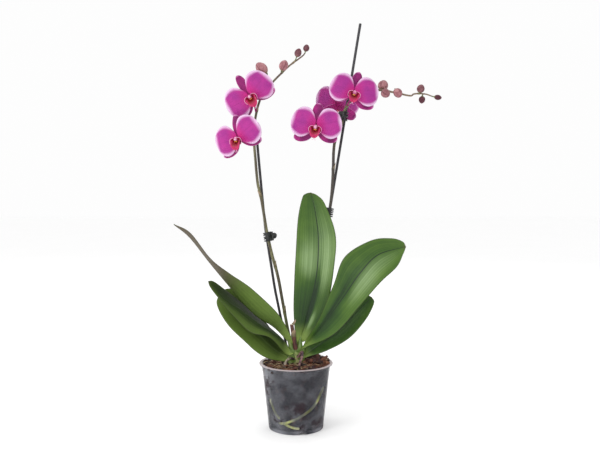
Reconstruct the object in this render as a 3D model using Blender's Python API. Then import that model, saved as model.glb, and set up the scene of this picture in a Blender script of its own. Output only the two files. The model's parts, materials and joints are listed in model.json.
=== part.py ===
"""A moth orchid in its nursery pot: two flower spikes, two support sticks, three claw clips.

Frame: +Z up, front towards -Y, origin where the pot's axis meets the surface it stands on.
Lengths are in metres. The plant's own points are in millimetres from the middle of the pot's rim,
so they rise and sink with the pot; plant() turns them into the frame.
"""

import math

import bmesh
import bpy
from mathutils import Matrix, Vector, noise

GAP = 0.0003  # clearance between pieces that touch
POCKET_GAP = 0.0006  # round what stands in the bark

# Pot
POT_TOP_R = 0.0560  # outer wall radius just under the lip
POT_BASE_R = 0.0450  # outer wall radius at the floor
POT_HEIGHT = 0.107
POT_WALL = 0.0012
LIP_OVERHANG = 0.0040
LIP_HEIGHT = 0.0024
FLOOR_RISE = 0.0050  # underside of the floor above the surface
FOOT_RING_WALL = 0.0024
CENTRE_FOOT_R = 0.010
NOTCH_WIDTH = 0.016
NOTCH_HEIGHT = 0.0046
NOTCH_ANGLES = (13, 133, 253)  # degrees from the front, towards +X
DRAIN_R = 0.0030
DRAIN_CIRCLE_R = 0.026
DRAIN_COUNT = 6
POT_SEGMENTS = 32

# Growing medium
BARK_BELOW_RIM = 0.0035
BARK_LUMPS = 0.0030
BARK_SLOPE = 0.0030  # the bark lies higher on the right, behind
BARK_TOP = POT_HEIGHT - BARK_BELOW_RIM

# Crown, the short stem that carries leaves, roots and spikes
CROWN_FOOT = BARK_TOP - 0.0155
CROWN_TOP = BARK_TOP + 0.0385
CROWN_R = 0.0080
CROWN_SHAPE = ((0, 0.45), (0.15, 0.85), (0.37, 1.0), (0.63, 1.0), (0.85, 0.9), (1, 0.5))  # (rise, radius)

# Leaves
LEAF_THICKNESS = 0.0020
LEAF_WRAP = 42  # degrees of the crown that each half of a leaf's foot clasps
LEAF_ROWS = 12
LEAF_COLUMNS = 4

# Spikes, sticks and roots
SPIKE_FOOT_R = 0.0026
SPIKE_TIP_R = 0.0010
SPIKE_ROWS = 30
STICK_R = 0.0022
STICK_FOOT = 0.010  # how far a stick's foot stays above the pot's floor
ROOT_R = 0.0021
OLD_SPIKE_R = 0.0030

# Flowers, each measured on a flower of size 1
PETAL_LENGTH = 0.0445
PETAL_HALF_WIDTH = 0.0280
SEPAL_LENGTH = 0.042
SEPAL_HALF_WIDTH = 0.0125
PERIANTH_THICKNESS = 0.0011
COLUMN_R = 0.0026
COLUMN_LINE = ((0, 0), (0.0040, 0), (0.0075, 0.0008), (0.0095, 0.0024))  # (forwards, down)
PEDICEL_R = 0.0013
BUD_STALK_R = 0.0009

# Claw clips
CLIP_HEIGHT = 0.0150
CLIP_THICKNESS = 0.0012
CLIP_TOOTH = 0.0026
CLIP_TOOTH_GAP = 0.0005
CLIP_BORE_X = STICK_R + 0.0034  # half-size of the space that the jaws close round
CLIP_BORE_Y = STICK_R + 0.0048
HINGE_OFFSET = CLIP_BORE_X + 0.0024  # from the middle of that space to the hinge pin
PIN_R = 0.0007
PIN_CLEARANCE = 0.0001
LUG_R = 0.0018
LUG_HEIGHT = 0.0018
SPRING_WIRE_R = 0.00030
SPRING_COIL_R = 0.00150
SPRING_TURNS = 2.5
SPRING_STEPS = 7  # straight lengths in each turn

COLOURS = {
    "smoked_plastic": ((0.09, 0.09, 0.10, 1), 0.35),
    "bark": ((0.12, 0.045, 0.025, 1), 0.9),
    "leaf": ((0.10, 0.22, 0.05, 1), 0.38),
    "crown": ((0.20, 0.27, 0.08, 1), 0.5),
    "root": ((0.40, 0.42, 0.28, 1), 0.6),
    "old_spike": ((0.09, 0.03, 0.03, 1), 0.6),
    "spike": ((0.10, 0.10, 0.05, 1), 0.5),
    "stick": ((0.02, 0.018, 0.022, 1), 0.45),
    "bud": ((0.45, 0.20, 0.22, 1), 0.5),
    "petal": ((0.55, 0.05, 0.35, 1), 0.5),
    "lip": ((0.50, 0.02, 0.06, 1), 0.45),
    "column": ((0.75, 0.35, 0.55, 1), 0.4),
    "clip": ((0.015, 0.018, 0.016, 1), 0.35),
    "steel": ((0.55, 0.55, 0.55, 1), 0.3),
}


def plant(x, y, z):
    """A point of the plant, given in mm from the middle of the pot's rim."""
    return Vector((x, y, z)) * 0.001 + Vector((0, 0, POT_HEIGHT))


# ---------------------------------------------------------------- shared shapes


def clear_scene():
    for old in list(bpy.data.objects):
        bpy.data.objects.remove(old)


def material(kind):
    found = bpy.data.materials.get(kind)
    if found:
        return found
    made = bpy.data.materials.new(kind)
    made.use_nodes = True
    colour, roughness = COLOURS[kind]
    shader = made.node_tree.nodes["Principled BSDF"]
    shader.inputs["Base Color"].default_value = colour
    shader.inputs["Roughness"].default_value = roughness
    shader.inputs["Metallic"].default_value = 1.0 if kind == "steel" else 0.0
    made.diffuse_color = colour
    return made


def new_object(name, kind, points, faces):
    """An object from points and faces, with its faces turned outwards."""
    mesh = bpy.data.meshes.new(name)
    mesh.from_pydata([tuple(p) for p in points], [], faces)
    build = bmesh.new()
    build.from_mesh(mesh)
    bmesh.ops.recalc_face_normals(build, faces=build.faces)
    if build.calc_volume(signed=True) < 0:
        bmesh.ops.reverse_faces(build, faces=build.faces)
    build.to_mesh(mesh)
    build.free()
    mesh.shade_smooth()
    mesh.set_sharp_from_angle(angle=math.radians(40))
    made = bpy.data.objects.new(name, mesh)
    made.data.materials.append(material(kind))
    bpy.context.scene.collection.objects.link(made)
    return made


def combine(target, tool, operation):
    """Adds a Boolean to target and keeps its tool out of the render."""
    tool.hide_render = True
    tool.display_type = "WIRE"
    change = target.modifiers.new(tool.name, "BOOLEAN")
    change.operation = operation
    change.solver = "EXACT"
    change.object = tool
    return target


def smooth_path(points, count):
    """count points on a Catmull-Rom curve through points, evenly spaced by parameter."""
    padded = [points[0] * 2 - points[1], *points, points[-1] * 2 - points[-2]]
    spans = len(points) - 1
    path = []
    for k in range(count):
        at = spans * k / (count - 1)
        i = min(int(at), spans - 1)
        t = at - i
        a, b, c, d = padded[i : i + 4]
        path.append(
            0.5 * (2 * b + (c - a) * t + (2 * a - 5 * b + 4 * c - d) * t**2
                   + (3 * b - 3 * c + d - a) * t**3)
        )
    return path


def even_points(points, shares):
    """Points at these shares of the length of the smooth curve through points."""
    fine = smooth_path(points, 8 * (len(points) - 1) + 1)
    lengths = [0.0]
    for a, b in zip(fine, fine[1:]):
        lengths.append(lengths[-1] + (b - a).length)
    found = []
    for share in shares:
        target = share * lengths[-1]
        k = min(sum(length < target for length in lengths), len(fine) - 1) or 1
        found.append(fine[k - 1].lerp(fine[k], (target - lengths[k - 1]) / (lengths[k] - lengths[k - 1])))
    return found


def tangents(path):
    ends = [path[0], *path, path[-1]]
    return [(ends[k + 2] - ends[k]).normalized() for k in range(len(path))]


def tube(name, kind, path, radii, sides=6, flat=1.0):
    """A closed tube along path. flat squeezes its section along the second axis."""
    along = tangents(path)
    side = along[0].orthogonal().normalized()
    points = []
    for centre, forward, radius in zip(path, along, radii):
        side = (side - forward * side.dot(forward)).normalized()
        up = forward.cross(side)
        for k in range(sides):
            angle = 2 * math.pi * k / sides
            points.append(
                centre + side * (radius * math.cos(angle)) + up * (radius * flat * math.sin(angle))
            )
    faces = []
    for row in range(len(path) - 1):
        for k in range(sides):
            after = (k + 1) % sides
            faces.append(
                (row * sides + k, row * sides + after,
                 (row + 1) * sides + after, (row + 1) * sides + k)
            )
    faces.append(tuple(reversed(range(sides))))
    last = (len(path) - 1) * sides
    faces.append(tuple(range(last, last + sides)))
    return new_object(name, kind, points, faces)


def sheet(name, kind, points, normals, faces, thickness):
    """A closed sheet of even thickness about the surface that points and faces describe."""
    half = thickness / 2
    front = [p + n * half for p, n in zip(points, normals)]
    back = [p - n * half for p, n in zip(points, normals)]
    offset = len(front)
    walls = {}
    for face in faces:
        for a, b in zip(face, face[1:] + face[:1]):
            if (b, a) in walls:
                del walls[(b, a)]
            else:
                walls[(a, b)] = True
    solid = list(faces)
    solid += [tuple(offset + i for i in reversed(face)) for face in faces]
    solid += [(b, a, offset + a, offset + b) for a, b in walls]
    return new_object(name, kind, front + back, solid)


def grid_faces(rows, across, start=0):
    """Four-sided faces for rows of points, each row this many points across."""
    return [
        (a, a + 1, a + across + 1, a + across)
        for a in (start + r * across + c for r in range(rows - 1) for c in range(across - 1))
    ]


def blade(name, kind, rows, thickness):
    """A closed sheet from rows of (points across, normals across)."""
    points = [p for row in rows for p in row[0]]
    normals = [n for row in rows for n in row[1]]
    return sheet(name, kind, points, normals, grid_faces(len(rows), len(rows[0][0])), thickness)


def lathe(name, kind, profile, segments):
    """A profile of (radius, height) pairs turned about Z. Its first and last points lie on the axis."""
    points = [Vector((0, 0, profile[0][1])), Vector((0, 0, profile[-1][1]))]
    rings = profile[1:-1]
    for radius, height in rings:
        for k in range(segments):
            angle = 2 * math.pi * k / segments
            points.append(Vector((radius * math.sin(angle), -radius * math.cos(angle), height)))

    def ring(i, k):
        return 2 + i * segments + k % segments

    faces = []
    for k in range(segments):
        faces.append((0, ring(0, k), ring(0, k + 1)))
        faces.append((1, ring(len(rings) - 1, k + 1), ring(len(rings) - 1, k)))
        for i in range(len(rings) - 1):
            faces.append((ring(i, k), ring(i + 1, k), ring(i + 1, k + 1), ring(i, k + 1)))
    return new_object(name, kind, points, faces)


def share_of_width(at, widest, foot, roundness=2.0):
    """Half-width of a leaf or petal, as a share of its widest: a narrow foot, a rounded tip."""
    if at < widest:
        return foot + (1 - foot) * math.sin(math.pi / 2 * at / widest) ** 1.3
    beyond = (at - widest) / (1 - widest)
    return max(1 - beyond**roundness, 0) ** (1 / roundness)


# ---------------------------------------------------------------- pot and medium


def wall_radius(height):
    """Outer radius of the pot's wall at a height."""
    return POT_BASE_R + (POT_TOP_R - POT_BASE_R) * (height - FLOOR_RISE) / (POT_HEIGHT - FLOOR_RISE)


def make_pot():
    floor_top = FLOOR_RISE + POT_WALL
    base_r = wall_radius(0)
    lip_r = POT_TOP_R + LIP_OVERHANG
    lip_foot = POT_HEIGHT - LIP_HEIGHT
    profile = [
        (0, 0),
        (CENTRE_FOOT_R, 0),
        (CENTRE_FOOT_R + 0.001, FLOOR_RISE),
        (base_r - FOOT_RING_WALL - 0.0004, FLOOR_RISE),
        (base_r - FOOT_RING_WALL, 0),
        (base_r - 0.0008, 0),
        (base_r, 0.0008),
        (wall_radius(lip_foot), lip_foot),
        (lip_r - 0.0005, lip_foot),
        (lip_r, lip_foot + 0.0006),
        (lip_r, POT_HEIGHT - 0.0006),
        (lip_r - 0.0006, POT_HEIGHT),
        (POT_TOP_R - POT_WALL + 0.0004, POT_HEIGHT),
        (wall_radius(lip_foot) - POT_WALL, lip_foot),
        (wall_radius(floor_top + 0.002) - POT_WALL, floor_top + 0.002),
        (wall_radius(floor_top) - POT_WALL - 0.002, floor_top),
        (CENTRE_FOOT_R + 0.002, floor_top),
        (CENTRE_FOOT_R + 0.001 - POT_WALL, POT_WALL),
        (0, POT_WALL),
    ]
    pot = lathe("nursery_pot", "smoked_plastic", profile, POT_SEGMENTS)
    for index, degrees in enumerate(NOTCH_ANGLES):
        angle = math.radians(degrees)
        outwards = Vector((math.sin(angle), -math.cos(angle), 0))
        sideways = Vector((math.cos(angle), math.sin(angle), 0))
        outline = [(-0.5, -0.4), (0.5, -0.4), (0.5, 0.0), (0.22, 0.8), (0, 1), (-0.22, 0.8), (-0.5, 0.0)]
        points = [
            outwards * reach + sideways * (u * NOTCH_WIDTH) + Vector((0, 0, v * NOTCH_HEIGHT))
            for reach in (base_r - 0.006, base_r + 0.006)
            for u, v in outline
        ]
        count = len(outline)
        faces = [tuple(reversed(range(count))), tuple(range(count, 2 * count))]
        faces += [(k, (k + 1) % count, count + (k + 1) % count, count + k) for k in range(count)]
        combine(pot, new_object(f"notch_cutter_{index}", "steel", points, faces), "DIFFERENCE")
    for index in range(DRAIN_COUNT):
        angle = 2 * math.pi * (index + 0.6) / DRAIN_COUNT
        centre = Vector((math.sin(angle), -math.cos(angle), 0)) * DRAIN_CIRCLE_R
        path = [centre + Vector((0, 0, z)) for z in (FLOOR_RISE - 0.002, FLOOR_RISE + 0.004)]
        combine(pot, tube(f"drain_cutter_{index}", "steel", path, [DRAIN_R] * 2, 8), "DIFFERENCE")
    return pot


def bark_height(x, y):
    lumps = noise.noise(Vector((x, y, 0)) * 70) * BARK_LUMPS
    return BARK_TOP + lumps + BARK_SLOPE * (x + y) / POT_TOP_R


def make_bark(cutters):
    """The bark fills the pot to a clearance. Roots, sticks and crown stand in pockets cut in it."""
    segments = 24
    floor = FLOOR_RISE + POT_WALL + GAP
    points = [Vector((0, 0, floor)), Vector((0, 0, bark_height(0, 0)))]
    levels = [floor, floor + 0.003, POT_HEIGHT * 0.28, POT_HEIGHT * 0.51, POT_HEIGHT * 0.73, None]
    inner_rings = (0.70, 0.36)
    for level in levels:
        for k in range(segments):
            angle = 2 * math.pi * k / segments
            across = Vector((math.sin(angle), -math.cos(angle), 0))
            height = level if level is not None else bark_height(*(across * 0.05).xy) - 0.002
            radius = wall_radius(height) - POT_WALL - 2 * GAP
            if level == floor:
                radius -= 0.0035
            points.append(across * radius + Vector((0, 0, height)))
    for share in inner_rings:
        for k in range(segments):
            angle = 2 * math.pi * k / segments
            spot = Vector((math.sin(angle), -math.cos(angle), 0)) * (wall_radius(BARK_TOP) * share)
            points.append(spot + Vector((0, 0, bark_height(spot.x, spot.y))))
    rings = len(levels) + len(inner_rings)

    def ring(i, k):
        return 2 + i * segments + k % segments

    faces = []
    for k in range(segments):
        faces.append((0, ring(0, k), ring(0, k + 1)))
        faces.append((1, ring(rings - 1, k + 1), ring(rings - 1, k)))
        for i in range(rings - 1):
            faces.append((ring(i, k), ring(i + 1, k), ring(i + 1, k + 1), ring(i, k + 1)))
    bark = new_object("bark_medium", "bark", points, faces)
    for cutter in cutters:
        combine(bark, cutter, "DIFFERENCE")
    return bark


def crown_radius(height):
    """The crown's radius at a height."""
    rise = (height - CROWN_FOOT) / (CROWN_TOP - CROWN_FOOT)
    for (low, a), (high, b) in zip(CROWN_SHAPE, CROWN_SHAPE[1:]):
        if rise <= high:
            return CROWN_R * (a + (b - a) * (rise - low) / (high - low))
    return CROWN_R * CROWN_SHAPE[-1][1]


def crown_surface(degrees, height, out=0.0):
    """A point on the crown's side, or this far out from it. Height is above the pot's rim."""
    angle = math.radians(degrees)
    radius = crown_radius(POT_HEIGHT + height) + out
    return Vector((radius * math.sin(angle), -radius * math.cos(angle), POT_HEIGHT + height))


def make_crown(name, kind, growth=0.0):
    path = [Vector((0, 0, CROWN_FOOT + (CROWN_TOP - CROWN_FOOT) * rise)) for rise, _ in CROWN_SHAPE]
    path[0].z -= growth
    path[-1].z += growth
    return tube(name, kind, path, [CROWN_R * share + growth for _, share in CROWN_SHAPE], 12)


# ---------------------------------------------------------------- leaves

# Each leaf: where its foot clasps the crown (degrees from the front towards +X, mm above the rim), then
# its midrib, its front margin and its back margin, in the plant's points. The margins end where the
# midrib does.
LEAVES = {
    "leaf_upright": (
        (48, 32), [(21, -13, 88), (33, -18, 145), (36, -17, 201), (31, -8, 246), (24, 6, 277)],
        [(-1, -13, 45), (-4, -20, 97), (-1, -25, 167), (3, -18, 233), (11, -3, 270)],
        [(21, -13, 42), (48, -20, 89), (61, -26, 160), (63, -22, 211), (47, -4, 258)]),
    "leaf_right_broad": (
        (70, 20), [(46, -24, 70), (76, -34, 113), (101, -37, 150), (130, -34, 179), (175, -26, 191)],
        [(19, -14, 29), (62, -33, 53), (96, -44, 94), (132, -46, 136), (163, -36, 170)],
        [(17, -17, 41), (38, -30, 79), (59, -38, 131), (77, -37, 176), (119, -27, 201), (155, -18, 203)]),
    "leaf_right_low": (
        (98, 6), [(36, 3, 26), (69, 5, 50), (100, 6, 81), (124, 4, 106)],
        [(18, -4, 9), (52, -8, 21), (87, -10, 42), (113, -8, 71), (127, -2, 97)],
        [(13, 6, 20), (39, 10, 44), (76, 16, 83), (105, 12, 108)]),
    "leaf_left_long": (
        (-62, 30), [(-34, -16, 61), (-67, -25, 85), (-102, -28, 125), (-136, -28, 166), (-168, -26, 206),
                     (-194, -24, 227)],
        [(-9, -13, 47), (-32, -26, 88), (-69, -38, 125), (-103, -44, 152), (-134, -46, 178),
         (-166, -38, 216)],
        [(-9, 4, 44), (-31, 6, 75), (-65, 4, 106), (-104, 0, 140), (-139, -4, 171),
         (-170, -10, 212)]),
    "leaf_left_mid": (
        (-52, 16), [(-29, -21, 44), (-57, -33, 66), (-88, -39, 91), (-113, -42, 110), (-138, -40, 138)],
        [(-15, -16, 16), (-41, -44, 49), (-71, -58, 61), (-102, -59, 92), (-125, -50, 119)],
        [(-13, -4, 27), (-29, -4, 46), (-62, -5, 74), (-91, -8, 101), (-118, -24, 126)]),
    "leaf_left_low": (
        (-88, 4), [(-39, -8, 26), (-66, -13, 55), (-93, -15, 86), (-120, -12, 118)],
        [(-21, -8, 3), (-54, -24, 15), (-82, -35, 42), (-109, -34, 69), (-127, -20, 99)],
        [(-14, 5, 14), (-39, 6, 50), (-69, 8, 89), (-96, 2, 117)]),
}


def make_leaf(name, foot, midrib, front, back):
    """A leaf between its margins, folded along its midrib, with its foot wrapped on the crown."""
    degrees, height = foot
    height *= 0.001
    wrap = LEAF_WRAP if degrees < 0 else -LEAF_WRAP
    clear = LEAF_THICKNESS / 2 + GAP
    tip = plant(*midrib[-1])
    rails = (
        [crown_surface(degrees + wrap, height, clear + 0.0004), *[plant(*p) for p in front], tip],
        [crown_surface(degrees, height, clear), *[plant(*p) for p in midrib]],
        [crown_surface(degrees - wrap, height, clear + 0.0004), *[plant(*p) for p in back], tip],
    )
    stations = [1 - (1 - k / LEAF_ROWS) ** 1.35 for k in range(LEAF_ROWS)] + [0.995]
    front_edge, middle, back_edge = (even_points(rail, stations) for rail in rails)
    grid = []
    for a, m, b in zip(front_edge, middle, back_edge):
        row = []
        for c in range(LEAF_COLUMNS + 1):
            u = 2 * c / LEAF_COLUMNS - 1
            edge = a if u < 0 else b
            bulge = (m * 2 - a - b) * 0.5 * 0.35 * abs(u) * (1 - abs(u))
            row.append(m.lerp(edge, abs(u)) + bulge)
        grid.append(row)
    rows = []
    for r, row in enumerate(grid):
        before, after = grid[max(r - 1, 0)], grid[min(r + 1, len(grid) - 1)]
        normals = []
        for c, point in enumerate(row):
            across = row[min(c + 1, LEAF_COLUMNS)] - row[max(c - 1, 0)]
            normals.append(across.cross(after[c] - before[c]).normalized())
        rows.append((row, normals))
    rows[-1] = (rows[-1][0], rows[-2][1])
    return blade(name, "leaf", rows, LEAF_THICKNESS)


# ---------------------------------------------------------------- spikes, sticks, roots

# Each spike: where it leaves the crown (degrees, mm above the rim), then the plant's points along it.
SPIKES = {
    "flower_spike_left": (
        (-156, 13), [(-12, 13, 43), (-24, 15, 107), (-30, 17, 139), (-38, 18, 168), (-44, 18, 193),
                     (-50, 18, 223), (-57, 17, 267), (-63, 16, 293), (-66, 15, 327), (-68, 13, 353),
                     (-68, 11, 380), (-64, 9, 407), (-55, 7, 434), (-38, 4, 454), (-25, 2, 467),
                     (-13, 0, 478), (-4, -1, 485), (9, -2, 494), (14, -3, 499)]),
    "flower_spike_right": (
        (156, 14), [(14, 14, 63), (31, 20, 131), (46, 23, 193), (55, 24, 245), (59, 24, 276), (61, 24, 313),
                    (62, 24, 346), (66, 25, 371), (75, 27, 390), (78.5, 27.8, 408), (86, 24.5, 422),
                    (97, 18, 433), (112, 12, 440), (137, 5, 442), (152, 2, 439), (167, 0, 436),
                    (183, -1, 432), (190, -2, 435), (205, -4, 435), (217, -6, 431)]),
}

# Each stick: its foot on plan in mm, then the plant's points along it.
STICKS = {
    "support_stick_left": (
        (-3, 15), [(-12, 16, -2), (-27, 20, 77), (-36, 23, 122), (-43, 24, 168), (-49, 24, 205),
                   (-53, 23.5, 240), (-61, 21.5, 327), (-64, 20, 363)]),
    "support_stick_right": ((1, 22), [(106, 36, 555)]),
}

# The old spike and each aerial root: where it leaves the crown, then the plant's points along it.
OLD_SPIKE = ((-5, 24), [(-3, -17, 42), (-7, -20.5, 66)])
AERIAL_ROOTS = {
    "aerial_root_right": (
        (23, 11), [(7.5, -15.5, 18), (10.5, -19, 20), (9, -22, 12), (6, -24, 3), (5, -25, -9)]),
    "aerial_root_left": ((-21, 7), [(-9, -17, 10), (-15, -22, 7), (-18, -25, 0), (-18, -26, -9)]),
}

# Roots against the pot's wall: (degrees from the front towards +X, share of the pot's height).
WALL_ROOTS = {
    "wall_root_long": [(66, 0.67), (56, 0.58), (47, 0.49), (35, 0.39), (20, 0.32), (4, 0.25), (-12, 0.20),
                       (-26, 0.16), (-40, 0.15)],
    "wall_root_short": [(-62, 0.49), (-54, 0.37), (-46, 0.28), (-36, 0.22)],
}


def longer(path, growth):
    """The same path with each end moved outwards."""
    along = tangents(path)
    return [path[0] - along[0] * growth, *path[1:-1], path[-1] + along[-1] * growth]


def from_crown(foot, points, radius):
    """Points that start on the crown's side, clear of it by GAP for a piece of this radius."""
    degrees, height = foot
    return [crown_surface(degrees, height * 0.001, radius + GAP), *[plant(*p) for p in points]]


def spike_path(name):
    """A spike's middle line, and its radius at each row."""
    path = smooth_path(from_crown(*SPIKES[name], SPIKE_FOOT_R + 2 * GAP), SPIKE_ROWS)
    rows = range(SPIKE_ROWS)
    return path, [SPIKE_FOOT_R + (SPIKE_TIP_R - SPIKE_FOOT_R) * (k / (SPIKE_ROWS - 1)) ** 2 for k in rows]


def stick_path(name):
    (x, y), points = STICKS[name]
    foot = Vector((x * 0.001, y * 0.001, FLOOR_RISE + POT_WALL + STICK_FOOT))
    path = [foot, *[plant(*p) for p in points]]
    return smooth_path(path, 12) if len(path) > 2 else path


def leave_spike(name, share, towards, radius):
    """Where a stalk of this radius leaves a spike, at a share of its length, on the side it goes to."""
    path, radii = spike_path(name)
    lengths = [0.0]
    for a, b in zip(path, path[1:]):
        lengths.append(lengths[-1] + (b - a).length)
    target = share * lengths[-1]
    k = max(sum(length < target for length in lengths), 1)
    spot = path[k - 1].lerp(path[k], (target - lengths[k - 1]) / (lengths[k] - lengths[k - 1]))
    along = (path[k] - path[k - 1]).normalized()
    if share == 1:
        return spot + along * 3 * GAP
    side = towards - spot
    side = (side - along * side.dot(along)).normalized()
    return spot + side * (radii[k - 1] + radius + GAP)


def make_stick(name, kind, growth=0.0):
    path = longer(stick_path(name), growth)
    return tube(name if not growth else f"{name}_pocket", kind, path, [STICK_R + growth] * len(path), 8)


def wall_root_path(route, count):
    """A root's route laid against the inside of the wall."""
    path = []
    for spot in smooth_path([Vector((degrees, share, 0)) for degrees, share in route], count):
        height = spot.y * POT_HEIGHT
        radius = wall_radius(height) - POT_WALL - ROOT_R - 1.5 * GAP
        angle = math.radians(spot.x)
        path.append(Vector((radius * math.sin(angle), -radius * math.cos(angle), height)))
    return path


def make_wall_root(name, kind, growth=0.0):
    route = WALL_ROOTS[name]
    count = round(1.5 * len(route))
    radii = [(ROOT_R if 0 < k < count - 1 else ROOT_R * 0.6) + growth for k in range(count)]
    path = longer(wall_root_path(route, count), growth)
    return tube(name if not growth else f"{name}_pocket", kind, path, radii)


def make_aerial_root(name, kind, growth=0.0):
    path = longer(smooth_path(from_crown(*AERIAL_ROOTS[name], ROOT_R), 9), growth)
    radii = [ROOT_R * share + growth for share in (0.8, 1, 1, 1, 1, 1, 1, 1, 0.7)]
    return tube(name if not growth else f"{name}_pocket", kind, path, radii)


# ---------------------------------------------------------------- flowers and buds

# Each flower: its middle, the way it faces, the way its dorsal sepal points, its size, the lean of its
# petals and of its lateral sepals from the dorsal sepal in degrees (left, right), and the share of the
# spike's length at which its pedicel leaves.
FLOWERS = {
    "flower_left_upper": (
        (-71, -17, 428), (-0.10, -1, -0.12), (-0.55, 0, 0.83), 0.96, (-84, 74), (-121, 106), 0.765),
    "flower_left_lower": (
        (-90, -21, 361), (-0.38, -0.92, -0.08), (-0.16, 0, 0.99), 0.94, (-92, 62), (-126, 98), 0.666),
    "flower_right_lower": (
        (32, -14, 380), (-0.12, -1, -0.06), (0.12, 0, 0.98), 0.93, (-76, 72), (-121, 115), 0.626),
    "flower_right_upper": (
        (91, -16, 432), (0.10, -1, 0.10), (0.26, 0, 0.96), 0.90, (-78, 68), (-102, 108), 0.74),
    "flower_right_rear": (
        (70, 54, 423), (-0.35, 0.92, -0.05), (0.05, 0, 1), 0.90, (-75, 75), (-120, 120), 0.731),
}


def carrier(name):
    """The spike that carries a flower or bud, from the side in its name."""
    return "flower_spike_left" if "_left" in name else "flower_spike_right"


def flower_axes(facing, dorsal):
    out = Vector(facing).normalized()
    up = Vector(dorsal)
    up = (up - out * up.dot(out)).normalized()
    return up.cross(out), up, out


def flower_row(axes, centre, lean, at, shape, level, places):
    """One row across a petal or a sepal that leans from the dorsal direction by so many degrees."""
    length, half_width, foot, widest, rise, cup = shape
    side, up, out = axes
    angle = math.radians(lean)
    along = up * math.cos(angle) + side * math.sin(angle)
    across = along.cross(out)
    half = half_width * max(share_of_width(at, widest, foot), 0.22)
    height = level + rise * length * (math.sin(math.pi * at * 0.9) - 0.4 * at)
    points = [
        centre + along * (at * length) + across * (u * half) + out * (height - cup * half * u * u)
        for u in places
    ]
    return points, [out] * len(places)


def make_petals(name, axes, centre, leans, size, level):
    """Both petals as one sheet that narrows where it crosses the middle of the flower."""
    shape = (PETAL_LENGTH * size, PETAL_HALF_WIDTH * size, 0.12, 0.60, 0.10, 0.10)
    stations = (0.06, 0.26, 0.46, 0.66, 0.82, 0.94, 1.0)
    across = (-1, -0.5, 0, 0.5, 1)
    rows = [flower_row(axes, centre, leans[0], at, shape, level, across) for at in reversed(stations)]
    rows = [(points[::-1], normals) for points, normals in rows]
    rows += [flower_row(axes, centre, leans[1], at, shape, level, across) for at in stations]
    return blade(name, "petal", rows, PERIANTH_THICKNESS)


def make_sepals(name, axes, centre, leans, size, joint):
    """Three sepals round a small hub, with the pedicel that carries them."""
    out = axes[2]
    shape = (SEPAL_LENGTH * size, SEPAL_HALF_WIDTH * size, 0.12, 0.52, -0.05, 0.08)
    stations = (0.10, 0.32, 0.56, 0.78, 0.94, 1.0)
    points, normals, faces, hub = [], [], [], []
    for lean in (0, leans[1], leans[0]):
        start = len(points)
        hub += range(start, start + 3)
        for at in stations:
            row = flower_row(axes, centre, lean, at, shape, 0, (-1, 0, 1))
            points += row[0]
            normals += row[1]
        faces += grid_faces(len(stations), 3, start)
    faces.append(tuple(reversed(hub)))
    sepals = sheet(name, "petal", points, normals, faces, PERIANTH_THICKNESS)
    back = centre - out * 0.012
    stalk = smooth_path([centre - out * 0.0001, centre - out * 0.005, back.lerp(joint, 0.35), joint], 8)
    radii = [0.0030, 0.0024, 0.0018] + [PEDICEL_R] * 5
    return combine(sepals, tube(f"{name}_pedicel", "petal", stalk, radii), "UNION")


def make_flower(name, centre, facing, dorsal, size, petals, laterals, share):
    centre = plant(*centre)
    axes = flower_axes(facing, dorsal)
    up, out = axes[1:]
    joint = leave_spike(carrier(name), share, centre, PEDICEL_R)
    level = PERIANTH_THICKNESS + 2 * GAP
    make_sepals(f"{name}_sepals", axes, centre, laterals, size, joint)
    make_petals(f"{name}_petals", axes, centre + up * 0.002, petals, size, level)
    front = centre + out * (level + PERIANTH_THICKNESS / 2 + 4 * GAP) + up * 0.0016
    column = [front + out * reach - up * drop for reach, drop in COLUMN_LINE]
    tube(f"{name}_column", "column", column, [COLUMN_R * s for s in (0.75, 0.85, 1.0, 0.7)], 8)
    make_lip(f"{name}_lip", axes, front - up * 0.0052, size)


def make_lip(name, axes, foot, size):
    """The lip: a cupped tongue that runs forward under the column and then down."""
    side, up, out = axes
    route = [foot, foot + out * 0.005 - up * 0.001, foot + out * 0.010 - up * 0.004,
             foot + out * 0.0125 - up * 0.0095, foot + out * 0.0115 - up * 0.0155]
    path = smooth_path([foot + (p - foot) * size for p in route], 7)
    widths = (0.0022, 0.0060, 0.0082, 0.0074, 0.0062, 0.0044, 0.0016)
    cups = (0.2, 0.75, 0.85, 0.5, 0.15, 0.05, 0.0)
    rows = []
    for centre, along, width, cup in zip(path, tangents(path), widths, cups):
        normal = along.cross(side).normalized() * -1
        if normal.dot(up + out) < 0:
            normal = -normal
        points = [
            centre + side * (u * width * size) + normal * (cup * width * size * u * u)
            for u in (-1, -0.5, 0, 0.5, 1)
        ]
        rows.append((points, [normal] * 5))
    blade(name, "lip", rows, 0.0010)


# Each bud: the share of the spike's length where its stalk leaves, its foot, its tip, and its greatest
# radius in mm.
BUDS = {
    "bud_left_1": (0.837, (-47, 0, 468), (-63, -1, 484), 8.8),
    "bud_left_2": (0.912, (-23, -8, 471), (-16, -11, 487), 7.2),
    "bud_left_3": (0.962, (1, -5, 493), (6, -8, 506), 5.6),
    "bud_left_4": (1, (15, -3, 502), (18, -5, 513), 5.0),
    "bud_right_1": (0.852, (139, 10, 442), (144, 16, 459), 8.4),
    "bud_right_2": (0.858, (139, -5, 440), (147, -14, 430), 7.2),
    "bud_right_3": (0.895, (159, -5, 442), (166, -14, 429), 7.0),
    "bud_right_4": (0.966, (197, -8, 436), (201, -10, 449), 6.2),
    "bud_right_5": (0.975, (203, -1, 432), (202, 1, 420), 5.2),
    "bud_right_6": (1, (221, -6, 430), (233, -7, 428), 4.2),
}


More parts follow.
